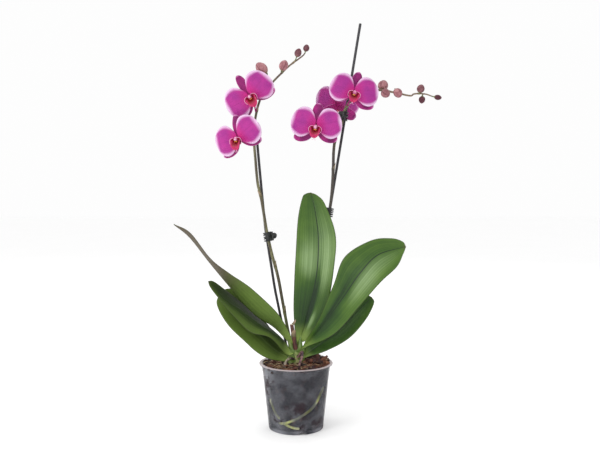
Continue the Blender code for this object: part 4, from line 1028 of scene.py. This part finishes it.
# In m: length, half width, share of it at the foot, share of the length at the widest, rise and cup.
PETAL = (0.0445, 0.0262, 0.10, 0.52, 0.10, 0.10)
SEPAL = (0.042, 0.0125, 0.14, 0.52, -0.05, 0.08)
PETAL_GRID, SEPAL_GRID, PETAL_RUFFLE, SEPAL_RUFFLE, SEPAL_SAG = (34, 24), (28, 14), 0.0030, 0.0022, 0.0028
PETAL_HALF_THICK, LIP_HALF_THICK, LOBE_HALF_THICK = 0.00042, 0.0004, 0.00032
LIP_ROWS, LIP_COLUMNS, LOBE_ROWS, LOBE_COLUMNS = 28, 16, 20, 12
PETAL_UP, PETAL_OUT, FLOWER_STALK_TO_SPIKE = 0.0020, 0.0017, 0.0022
STALK_POINTS, COLUMN_POINTS, CAP_POINTS, THROAT_POINTS, TENDRIL_POINTS = 40, 30, 12, 11, 16
# Each flower: its middle in mm from the rim's middle, the way it faces, the way its top sepal points, its
# size, how far its two petals and its two lower sepals lean from the top one in degrees, where on its
# spike it stands, and how wide its sepals are.
FLOWERS = {
    "flower_left_upper": (
        (-71, -17, 428), (-0.10, -1, -0.12), (-0.55, 0, 0.83), 0.96, (-84, 74), (-121, 106), 0.765, 0.66),
    "flower_left_lower": (
        (-90, -21, 361), (-0.38, -0.92, -0.08), (-0.16, 0, 0.99), 0.94, (-92, 62), (-126, 98), 0.666, 0.72),
    "flower_right_lower": (
        (32, -14, 380), (-0.12, -1, -0.06), (0.12, 0, 0.98), 0.93, (-76, 72), (-121, 115), 0.626, 0.82),
    "flower_right_upper": (
        (91, -16, 432), (0.10, -1, 0.10), (0.26, 0, 0.96), 0.90, (-78, 68), (-102, 108), 0.74, 0.80),
    "flower_right_rear": (
        (70, 54, 423), (-0.35, 0.92, -0.05), (0.05, 0, 1), 0.90, (-75, 75), (-120, 120), 0.731, 0.90),
}


def petal_shades(spread, where, heart, body, dusk, margin, band):
    """Colour of a petal from its foot to its pale margin, with fine veins that fan out from the foot."""
    across, along = spread.part(0), spread.part(1)
    off_middle = across.off_middle()
    veins = spread.stretched(26, 1.3, 1).clouds(1.0, 3, 0.6)
    soft = where.clouds(60, 2)
    shade = soft.fade(0.35, 0.65).blend(body, dusk)
    shade = (veins.fade(0.50, 0.68) * 0.55).blend(shade, tuple(c * 0.62 for c in body))
    shade = (along.fade(0.50, 0.05) * (1 - 0.5 * off_middle)).blend(shade, heart)
    edge = (off_middle + 0.16 * (soft - 0.5)).fade(1 - band, 1.0)
    tip = (along + 0.10 * (soft - 0.5)).fade(1 - band * 0.62, 1.0)
    edge = edge.maths("MAXIMUM", edge, tip) * along.fade(0.10, 0.34)
    return edge.blend(shade, margin), veins


petal_skin, where, spread = new_material("petal velvet")
colour, veins = petal_shades(spread, where, (0.50, 0.014, 0.180), (0.385, 0.028, 0.235),
                             (0.310, 0.024, 0.220), (0.72, 0.50, 0.70), 0.29)
face = where.mark("face")
colour = face.blend(colour.node("ShaderNodeMix", {"data_type": "RGBA"}, {
    0: 0.10, 6: colour, 7: (0.60, 0.16, 0.44, 1)}, 2), colour)
where.surface(colour, 0.56 + 0.12 * veins, veins, 0.00032, Specular_IOR_Level=0.22)

sepal_skin, where, spread = new_material("sepal velvet")
colour, veins = petal_shades(spread, where, (0.30, 0.008, 0.110), (0.32, 0.012, 0.160),
                             (0.15, 0.006, 0.090), (0.54, 0.20, 0.42), 0.12)
where.surface(colour, 0.52 + 0.12 * veins, veins, 0.00032, Specular_IOR_Level=0.25)

lip_skin, where, spread = new_material("waxy lip")
across, along = spread.part(0), spread.part(1)
off_middle = across.off_middle()
stripes = spread.stretched(9, 0.8, 1).clouds(1.0, 2)
colour = along.fade(0.06, 0.34).blend((0.66, 0.20, 0.03), (0.20, 0.003, 0.014))
colour = (stripes.fade(0.50, 0.62) * along.fade(0.6, 0.1)).blend(colour, (0.16, 0.003, 0.008))
colour = along.fade(0.50, 0.86).blend(colour, (0.44, 0.008, 0.085))
colour = (off_middle.fade(0.55, 1.0) * 0.8).blend(colour, (0.56, 0.016, 0.130))
where.surface(colour, 0.30 + 0.2 * stripes, stripes, 0.0002, Specular_IOR_Level=0.35)

wing_skin, where, spread = new_material("side lobe")
stripes = spread.stretched(14, 0.9, 1).clouds(1.0, 2)
along = spread.part(1)
across = spread.part(0)
colour = along.fade(0.02, 0.30).blend((0.66, 0.24, 0.05), (0.24, 0.004, 0.020))
colour = (stripes.fade(0.47, 0.58) * along.fade(0.95, 0.5)).blend(colour, (0.10, 0.002, 0.008))
colour = across.fade(0.50, 0.80).blend(colour, (0.60, 0.016, 0.140))
colour = across.maths("MAXIMUM", across.fade(0.86, 0.99), along.fade(0.93, 1.0)).blend(
    colour, (0.72, 0.30, 0.48))
where.surface(colour, 0.34, stripes, 0.0002, Specular_IOR_Level=0.35)

column_skin, where, _ = new_material("waxy column")
blush = where.clouds(230, 2)
where.surface(blush.fade(0.40, 0.62).blend((0.56, 0.12, 0.30), (0.72, 0.44, 0.56)), 0.30, blush, 0.0002)

throat_skin, where, _ = new_material("yellow throat")
dots = where.clouds(900, 2)
where.surface(dots.fade(0.50, 0.60).blend((0.74, 0.32, 0.04), (0.25, 0.006, 0.010)), 0.3, dots, 0.0002)


def outline(at, widest, foot):
    """Half-width of a petal as a share of its widest: a narrow foot and a rounded end."""
    if at < widest:
        return foot + (1 - foot) * math.sin(math.pi / 2 * at / widest) ** 0.85
    return max(1 - ((at - widest) / (1 - widest)) ** 2.2, 0) ** 0.48


def petal_rows(axes, centre, lean, shape, level, steps, ruffle, seed, sag=0.0):
    """Rows of points for one petal or sepal that leans from the dorsal direction by so many degrees."""
    length, half_width, foot, widest, rise, cup = shape
    count, width = steps
    side, up, out = axes
    angle = math.radians(lean)
    along = up * math.cos(angle) + side * math.sin(angle)
    across = along.cross(out)
    droop = across * (sag if across.dot(up) < 0 else -sag)
    rows, depths, uvs = [], [], []
    for r in range(count + 1):
        at = 0.05 + 0.949 * (1 - (1 - r / count) ** 1.7)
        half = half_width * outline(at, widest, foot)
        height = level + rise * length * (math.sin(math.pi * at * 0.9) - 0.4 * at)
        row, depth = [], []
        for c in range(width + 1):
            u = 2 * c / width - 1
            wavy = noise.noise(Vector((u * 1.4 + seed, at * 3.2, seed * 0.7)))
            lift = ruffle * wavy * (0.25 + abs(u) ** 2) * at
            crease = 0.0006 * math.exp(-(u / 0.16) ** 2) * (1 - at) * (1 if rise > 0 else -1)
            curl = -0.0012 * abs(u) ** 6 * at if rise > 0 else -0.0008 * abs(u) ** 4
            row.append(centre + along * (at * length) + across * (u * half) + droop * math.sin(math.pi * at)
                       + out * (height - cup * half * u * u + lift - crease + curl))
            thick = PETAL_HALF_THICK * (1 - 0.6 * abs(u) ** 4) * (1 - 0.45 * at)
            depth.append((thick, thick))
            uvs.append(((u + 1) / 2, at))
        rows.append(row)
        depths.append(depth)
    return rows, depths, uvs


def gather(parts):
    """Points, faces, UVs and marks of several closed sheets as one. Each part is (rows, depths, uvs)."""
    points, faces, uvs, sides = [], [], [], []
    for rows, depths, spread in parts:
        found = two_sided(rows, depths, len(points))
        points += found[0]
        faces += found[1]
        uvs += spread * 2
        sides += [1.0] * len(spread) + [0.0] * len(spread)
    return points, faces, uvs, sides


for index, (name, shape) in enumerate(FLOWERS.items()):
    centre, facing, dorsal, size, leans, laterals, share, slim = shape
    centre = plant(*centre)
    out = Vector(facing).normalized()
    up = Vector(dorsal)
    up = (up - out * up.dot(out)).normalized()
    side = up.cross(out)
    axes = (side, up, out)

    shape = (PETAL[0] * size, PETAL[1] * size, *PETAL[2:])
    found = gather([petal_rows(axes, centre + up * PETAL_UP, lean, shape, PETAL_OUT, PETAL_GRID,
                               PETAL_RUFFLE, index * 5.1 + lean) for lean in leans])
    petals = new_piece(name + "_petals_look", *found[:2], petal_skin, found[2], face=found[3])
    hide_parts(name + "_petals")

    shape = (SEPAL[0] * size, SEPAL[1] * size * slim, *SEPAL[2:])
    found = gather([petal_rows(axes, centre, lean, shape, 0, SEPAL_GRID, SEPAL_RUFFLE,
                               index * 3.3 + lean * 0.5, SEPAL_SAG * size * (lean != 0))
                    for lean in (0, *laterals)])
    sepals = new_piece(name + "_sepals_look", *found[:2], sepal_skin, found[2], face=found[3])
    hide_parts(name + "_sepals")

    leave, forward = on_path(spike_paths["flower_spike_left" if "_left" in name else "flower_spike_right"],
                             share)
    towards = centre - leave
    towards = (towards - forward * towards.dot(forward)).normalized()
    joint = leave + towards * FLOWER_STALK_TO_SPIKE
    back = centre - out * 0.012
    line = smooth_path([centre + out * 0.0006, centre - out * 0.005, back.lerp(joint, 0.35), joint],
                       STALK_POINTS)
    girths = [0.0034 - 0.0021 * min(k / 14, 1) ** 0.8 + 0.0003 * max(0, (k - 33) / 6)
              for k in range(STALK_POINTS)]
    stalk = stem(name + "_stalk", [(line, girths, 0.5)], sepal_skin, 16)

    front = centre + out * 0.00465 + up * 0.0016
    reach = [(0.0, 0.0), (0.0030, -0.0002), (0.0055, 0.0), (0.0075, 0.0008), (0.0090, 0.0020),
             (0.0098, 0.0030)]
    line = smooth_path([front + out * a - up * b for a, b in reach], COLUMN_POINTS)
    girths = [0.0019 + 0.0010 * math.sin(math.pi * min(k / 24, 1) ** 1.2) for k in range(COLUMN_POINTS - 3)]
    girths += [0.0016, 0.0011, 0.0004]
    shares = [k / (CAP_POINTS - 1) for k in range(CAP_POINTS)]
    cap_line = [front + out * (0.0078 + 0.0032 * at) - up * (0.0006 + 0.0012 * at) for at in shares]
    cap_girths = [0.0019 * math.sqrt(max(1 - (2 * at - 1) ** 2, 0.01)) for at in shares]
    column = stem(name + "_column_look", [(line, girths, 0.5), (cap_line, cap_girths, 0.5)],
                  column_skin, 18)
    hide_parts(name + "_column")

    foot = front - up * 0.0052
    route = [foot, foot + out * 0.005 - up * 0.001, foot + out * 0.010 - up * 0.004,
             foot + out * 0.0125 - up * 0.0085, foot + out * 0.0115 - up * 0.0138]
    path = smooth_path([foot + (p - foot) * size for p in route], LIP_ROWS + 1)
    widths = smooth_path([Vector((w, cup, 0)) for w, cup in (
        (2.4, 0.2), (6.4, 0.70), (8.6, 0.75), (8.8, 0.45), (8.0, 0.20), (6.2, 0.12), (2.2, 0.05))],
        LIP_ROWS + 1)
    rows, depths, uvs = [], [], []
    for k, spot in enumerate(path):
        along = (path[min(k + 1, LIP_ROWS)] - path[max(k - 1, 0)]).normalized()
        normal = side.cross(along).normalized()
        normal = -normal if normal.dot(up + out) < 0 else normal
        width, cup = widths[k].x * 0.001 * size, widths[k].y
        row = []
        for c in range(LIP_COLUMNS + 1):
            u = 2 * c / LIP_COLUMNS - 1
            keel = 0.0009 * math.exp(-(u / 0.2) ** 2) * (k / LIP_ROWS)
            row.append(spot + side * (u * width) + normal * (cup * width * u * u - keel))
            uvs.append((c / LIP_COLUMNS, k / LIP_ROWS))
        rows.append(row)
        depths.append([(LIP_HALF_THICK, LIP_HALF_THICK)] * len(row))
    points, faces, spread, _ = gather([(rows, depths, uvs)])
    lip = new_piece(name + "_lip_look", points, faces, lip_skin, spread)
    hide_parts(name + "_lip")

    lobes = []
    for hand in (-1, 1):
        spine = smooth_path([foot + (side * (hand * x) + up * y + out * z) * size * 0.001 for x, y, z in (
            (2.6, -4.0, 2.4), (6.2, -3.0, 4.4), (7.6, 0.6, 5.6), (7.0, 4.4, 6.6), (4.4, 7.4, 7.6))],
            LOBE_ROWS + 1)
        rows, depths, uvs = [], [], []
        for r, spot in enumerate(spine):
            at = r / LOBE_ROWS
            half = 0.0054 * size * (0.34 + 0.66 * math.sin(math.pi * at**0.8) ** 0.7) * (1 - 0.70 * at**6)
            hub = foot + up * (0.001 * size) + out * out.dot(spot - foot)
            away = (spot - hub).normalized()
            across = (away + out * (0.62 - 0.25 * at)).normalized()
            row = []
            for c in range(LOBE_COLUMNS + 1):
                u = 2 * c / LOBE_COLUMNS - 1
                bowl = out * (0.0022 * size * u * u) - away * (0.0012 * size * max(u, 0) ** 2)
                row.append(spot + across * (u * half) + bowl)
                uvs.append((c / LOBE_COLUMNS, at))
            rows.append(row)
            depths.append([(LOBE_HALF_THICK, LOBE_HALF_THICK)] * len(row))
        lobes.append((rows, depths, uvs))
    found = gather(lobes)
    wings = new_piece(name + "_side_lobes", *found[:2], wing_skin, found[2])

    crest = foot + (out * 0.0072 - up * 0.0002) * size
    shares = [k / (THROAT_POINTS - 1) for k in range(THROAT_POINTS)]
    line = [crest - out * 0.0024 + out * (0.0048 * at) + up * (0.0010 * math.sin(math.pi * at))
            for at in shares]
    girths = [0.0013 * math.sqrt(max(1 - (2 * at - 1) ** 2, 0.02)) for at in shares]
    knobs = [([p + side * (hand * 0.0011) for p in line], girths, 0.5) for hand in (-1, 1)]
    throat = stem(name + "_throat", knobs, throat_skin, 14)

    tip = path[-1]
    curls = []
    for hand in (-1, 1):
        line = smooth_path([tip + up * 0.0006, tip - up * 0.0014 + side * (hand * 0.0008),
                            tip - up * 0.0028 + side * (hand * 0.0020) - out * 0.0006,
                            tip - up * 0.0026 + side * (hand * 0.0034) + out * 0.0008], TENDRIL_POINTS)
        girths = [0.0004 - 0.00026 * k / (TENDRIL_POINTS - 1) for k in range(TENDRIL_POINTS)]
        curls.append((line, girths, 0.5))
    tendrils = stem(name + "_tendrils", curls, column_skin, 8)

    for piece in (petals, sepals, stalk, column, lip, wings, throat, tendrils):
        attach(piece, "plant_in_pot")

# ---------------------------------------------------------------- the buds
# Closed flower buds on short stalks along the ends of both spikes: egg-shaped, with three shallow seams
# where the sepals meet. The big ones are dusty pink, the small ones at the ends dark plum.

BUD_RINGS, BUD_SIDES, SEAM_TURN, BUD_STALK_POINTS = 26, 42, 0.35, 24
# Each bud: where on its spike it stands, its foot and tip in mm from the rim's middle, its radius in mm,
# and how dark it is.
BUDS = {
    "bud_left_1": (0.837, (-47, 0, 468), (-63, -1, 484), 8.8, 0.0),
    "bud_left_2": (0.912, (-23, -8, 471), (-16, -11, 487), 7.2, 0.1),
    "bud_left_3": (0.962, (1, -5, 493), (6, -8, 506), 5.6, 0.85),
    "bud_left_4": (1, (15, -3, 502), (18, -5, 513), 5.0, 1.0),
    "bud_right_1": (0.852, (139, 10, 442), (144, 16, 459), 8.4, 0.22),
    "bud_right_2": (0.858, (139, -5, 440), (147, -14, 430), 7.2, 0.38),
    "bud_right_3": (0.895, (159, -5, 442), (166, -14, 429), 7.0, 0.1),
    "bud_right_4": (0.966, (197, -8, 436), (201, -10, 449), 6.2, 0.75),
    "bud_right_5": (0.975, (203, -1, 432), (202, 1, 420), 5.2, 1.0),
    "bud_right_6": (1, (221, -6, 430), (233, -7, 428), 4.2, 1.15),
}

bud_skin, where, spread = new_material("bud skin")
tone = where.mark("tone")
seam = where.mark("seam")
along = spread.part(1)
lines = spread.stretched(40, 2.0, 1).clouds(1.0, 3)
soft = where.clouds(170, 3)
colour = soft.fade(0.35, 0.66).blend((0.46, 0.225, 0.235), (0.28, 0.105, 0.122))
colour = (tone * (0.9 + 0.6 * (soft - 0.5))).blend(colour, (0.070, 0.016, 0.026))
colour = (lines.fade(0.52, 0.70) * 0.5 * (1 - tone)).blend(colour, (0.21, 0.065, 0.09))
colour = (along.fade(0.22, 0.0) * 0.6).blend(colour, (0.20, 0.16, 0.075))
colour = (along.fade(0.86, 1.0) * 0.6).blend(colour, (0.20, 0.05, 0.08))
where.surface((seam * 0.85).blend(colour, (0.085, 0.018, 0.030)), 0.45, lines + soft, 0.0002,
              Specular_IOR_Level=0.25)

for index, (name, (share, foot, tip, radius, shade)) in enumerate(BUDS.items()):
    foot, tip, radius = plant(*foot), plant(*tip), radius * 0.001
    leave, forward = on_path(spike_paths["flower_spike_left" if "_left" in name else "flower_spike_right"],
                             share)
    axis = (tip - foot).normalized()
    neck = foot - axis * 0.0013
    towards = neck - leave
    towards = towards - forward * towards.dot(forward)
    joint = leave if share == 1 else leave + towards.normalized() * 0.0008
    line = smooth_path([joint, joint.lerp(neck, 0.5) + forward * 0.0004, neck, foot + axis * 0.001],
                       BUD_STALK_POINTS)
    girths = [0.0011 - 0.0002 * math.sin(math.pi * k / (BUD_STALK_POINTS - 1))
              + 0.0006 * max(0, (k - 17) / 6) for k in range(BUD_STALK_POINTS)]
    stalk = stem(name + "_stalk", [(line, girths, 0.5)], stalk_skin, 12)
    across = axis.cross(Vector((0, -1, 0.2))).normalized()
    front = across.cross(axis)
    points, uvs, seams, faces = [foot - axis * 0.0002], [(0.5, 0.0)], [0.0], []
    for ring in range(1, BUD_RINGS):
        at = ring / BUD_RINGS
        girth = radius * (4 * at * (1 - at)) ** 0.55 * (1.04 - 0.16 * at * at)
        spot = foot.lerp(tip, at)
        for k in range(BUD_SIDES):
            angle = 2 * math.pi * k / BUD_SIDES
            turned = angle - SEAM_TURN + index
            off = (turned % (2 * math.pi / 3) - math.pi / 3) * girth
            groove = math.exp(-(off / (0.085 * radius)) ** 2) * min(1, 4 * at) * min(1, 5 * (1 - at))
            swell = 1 - 0.055 * groove + 0.02 * math.cos(3 * turned)
            out = front * math.cos(angle) + across * math.sin(angle)
            points.append(spot + out * (girth * swell))
            uvs.append((k / BUD_SIDES, at))
            seams.append(groove)
    points.append(tip + axis * 0.0001)
    uvs.append((0.5, 1.0))
    seams.append(0.0)
    last = len(points) - 1
    for k in range(BUD_SIDES):
        after = (k + 1) % BUD_SIDES
        faces.append((0, 1 + after, 1 + k))
        faces.append((last, last - BUD_SIDES + k, last - BUD_SIDES + after))
        faces += [(1 + r * BUD_SIDES + k, 1 + r * BUD_SIDES + after, 1 + (r + 1) * BUD_SIDES + after,
                   1 + (r + 1) * BUD_SIDES + k) for r in range(BUD_RINGS - 2)]
    bud = new_piece(name + "_look", points, faces, bud_skin, uvs, tone=[shade] * len(points), seam=seams)
    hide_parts(name)
    for piece in (bud, stalk):
        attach(piece, "plant_in_pot")

# ---------------------------------------------------------------- the three claw clips
# Black moulded clips that hold a spike to its stick. Each is two curved jaws with interleaved teeth,
# turning on a steel pin; a coil spring round the pin keeps them shut, and a ribbed thumb wing on each
# jaw opens it. Only the front jaw turns.

BORE_X, BORE_Y, BAND = 0.0056, 0.0070, 0.0012
HINGE_OUT, LUG_R, LUG_TALL, PIN_R = 0.0080, 0.0018, 0.0018, 0.0007
CLIP_TALL, TOOTH, TOOTH_GAP = 0.0150, 0.0026, 0.0005
JAW_POINTS, WING_POINTS, TOOTH_POINTS, LUG_SIDES = 52, 12, 14, 24
SPRING_TURNS, SPRING_R, SPRING_WIRE = 5.0, 0.0014, 0.0003

black_plastic, where, _ = new_material("black clip plastic")
fine = where.clouds(1400, 2)
rub = where.clouds(260, 3)
where.surface(rub.fade(0.52, 0.72).blend((0.006, 0.007, 0.007), (0.024, 0.027, 0.025)), 0.34 + 0.22 * rub,
              fine, 0.00008)
steel, where, _ = new_material("sprung steel")
fine = where.clouds(1500, 2)
where.surface(fine.blend((0.48, 0.48, 0.49), (0.66, 0.66, 0.66)), 0.24 + 0.16 * fine, fine, 0.00004,
              Metallic=1.0)

# Teeth up a jaw: one curved tooth repeated at an even pitch along the clip.
teeth = Tree("teeth up a jaw", {"Count": "Int", "Pitch": "Vector", "Material": "Material"})
places = teeth.node("GeometryNodeMeshLine", {"mode": "OFFSET"}, {"Count": "Count", "Offset": "Pitch"})
teeth.close(teeth.node("GeometryNodeInstanceOnPoints", {}, {"Points": places, "Instance": "Geometry"}))

# A spring: a wire wound round the pin.
springs = Tree("coil spring", {"Turns": "Float", "Radius": "Float", "Rise": "Float", "Wire": "Float",
                               "Material": "Material"})
coil = springs.node("GeometryNodeCurveSpiral", {}, {
    "Resolution": 26, "Rotations": "Turns", "Start Radius": "Radius", "End Radius": "Radius",
    "Height": "Rise"})
springs.sweep(coil, 8, "Wire")


def band(flat, halves, middle_height=0.0):
    """A bent strip: flat is its (x, y) line, halves its (half thickness, half height) at each point."""
    points = []
    for k, (spot, (half, tall)) in enumerate(zip(flat, halves)):
        along = (flat[min(k + 1, len(flat) - 1)] - flat[max(k - 1, 0)]).normalized()
        over = along.cross(Vector((0, 0, 1)))
        soft = min(half, tall) * 0.45
        for a, b in ((half, tall - soft), (half - soft, tall), (soft - half, tall), (-half, tall - soft),
                     (-half, soft - tall), (soft - half, -tall), (half - soft, -tall), (half, soft - tall)):
            points.append(spot + over * a + Vector((0, 0, b + middle_height)))
    ends = [tuple(range(8)), tuple(range(len(points) - 8, len(points)))]
    return points, grid(len(flat), 8, True) + ends


def on_bore(degrees, turn):
    """A point in the middle of a jaw's thickness where it bends round the spike and the stick."""
    angle = math.radians(degrees)
    return Vector(((BORE_X + BAND / 2) * math.cos(angle), -(BORE_Y + BAND / 2) * math.sin(angle) * turn, 0))


for joint in frame["joints"]:
    name = joint["name"].removesuffix("_hinge")
    hinge_side = 1 if name == "clip_left" else -1
    up = Vector(joint["axis"]) * hinge_side
    right = Vector((hinge_side, 0, 0))
    right = (right - up * right.dot(up)).normalized()
    middle = Vector(joint["pos_m"]) - right * HINGE_OUT
    place = Matrix.Translation(middle) @ Matrix((right, up.cross(right), up)).transposed().to_4x4()
    low = -CLIP_TALL / 2
    inset = low + 0.0003
    lug_feet = {"front_jaw": (inset, -inset - LUG_TALL),
                "back_jaw": (inset + LUG_TALL + 0.0003, -inset - 2 * LUG_TALL - 0.0003)}
    for part, feet in lug_feet.items():
        turn = hinge_side if part == "front_jaw" else -hinge_side
        reach = LUG_R + 0.0005 + BAND / 2
        line = [Vector((HINGE_OUT + x, y * turn, 0)) for x, y in (
            (0.0072, -0.0063), (0.0058, -0.0056), (0.0044, -0.0046), (0.0029, -0.0035),
            (0.0014, -reach), (0.0001, -reach - 0.0003), (-0.0012, -reach - 0.0004))]
        line += [on_bore(degrees, turn) for degrees in range(42, 119, 8)]
        line = smooth_path(line, JAW_POINTS)
        halves = []
        for k in range(JAW_POINTS):
            round_end = math.sqrt(max(1 - (1 - min(k / 9, 1)) ** 2, 0.02))
            rib = 0.00018 * (math.sin(k * 1.9) > 0) * (k < WING_POINTS)
            widening = min(max(k - WING_POINTS, 0) / 8, 1)
            halves.append((BAND / 2 + rib, (0.0046 + 0.0029 * widening) * round_end))
        points, faces = band(line, halves)
        for foot in feet:
            start, ring = len(points), []
            for k in range(LUG_SIDES):
                x, y = math.cos(2 * math.pi * k / LUG_SIDES), math.sin(2 * math.pi * k / LUG_SIDES)
                ring.append(((x * (PIN_R + 0.0001), y * (PIN_R + 0.0001)),
                             (x * LUG_R, y * LUG_R if y > -0.4 else -reach)))
            for inner in (0, 1):
                for height in (foot, foot + LUG_TALL):
                    points += [Vector((HINGE_OUT + pair[inner][0], pair[inner][1] * turn, height))
                               for pair in ring]
            a, b, c, d = (start + LUG_SIDES * n for n in range(4))
            for k in range(LUG_SIDES):
                after = (k + 1) % LUG_SIDES
                faces += [(a + k, a + after, b + after, b + k), (c + after, c + k, d + k, d + after),
                          (a + after, a + k, c + k, c + after), (b + k, b + after, d + after, d + k)]
        jaw = new_piece(f"{name}_{part}_look", [place @ p for p in points], faces, black_plastic)
        jaw.data.set_sharp_from_angle(angle=math.radians(50))

        claw = [on_bore(degrees, turn) for degrees in range(112, 191, 6)]
        count, first = (3, low) if part == "front_jaw" else (2, low + TOOTH + TOOTH_GAP)
        halves = []
        for k in range(TOOTH_POINTS):
            at = k / (TOOTH_POINTS - 1)
            tip = 0.55 if at == 1 else 1
            halves.append((BAND / 2 * (1 - 0.35 * at), TOOTH / 2 * (1 - 0.30 * at) * tip))
        points, faces = band(claw, halves, first + TOOTH / 2)
        row = new_piece(f"{name}_{part}_teeth", [place @ p for p in points], faces, black_plastic)
        pitch = up * (2 * (TOOTH + TOOTH_GAP))
        teeth.grow(row, Count=count, Pitch=tuple(pitch), Material=black_plastic)
        row.data.set_sharp_from_angle(angle=math.radians(50))
        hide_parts(f"{name}_{part}")
        for piece in (jaw, row):
            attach(piece, f"{name}_jaw" if part == "front_jaw" else "plant_in_pot")

    ends = [(-0.0004, 0.0005), (-0.0002, PIN_R), (0.0002, PIN_R)]
    line = [place @ Vector((HINGE_OUT, 0, low + z)) for z, _ in ends]
    line += [place @ Vector((HINGE_OUT, 0, -low - z)) for z, _ in reversed(ends)]
    girths = [r for _, r in ends] + [r for _, r in reversed(ends)]
    pin = stem(f"{name}_pin_look", [(line, girths, 0.5)], steel, 24)
    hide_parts(f"{name}_hinge_pin")

    spring_low = low + 2 * LUG_TALL + 0.0016
    spring = new_piece(f"{name}_spring_look", [Vector()], [], steel)
    springs.grow(spring, Turns=SPRING_TURNS, Radius=SPRING_R, Rise=-2 * spring_low, Wire=SPRING_WIRE,
                 Material=steel)
    spring.data.transform(place @ Matrix.Translation((HINGE_OUT, 0, spring_low)))
    spring.data.shade_smooth()
    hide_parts(f"{name}_spring")
    for piece in (pin, spring):
        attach(piece, "plant_in_pot")

low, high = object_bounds()
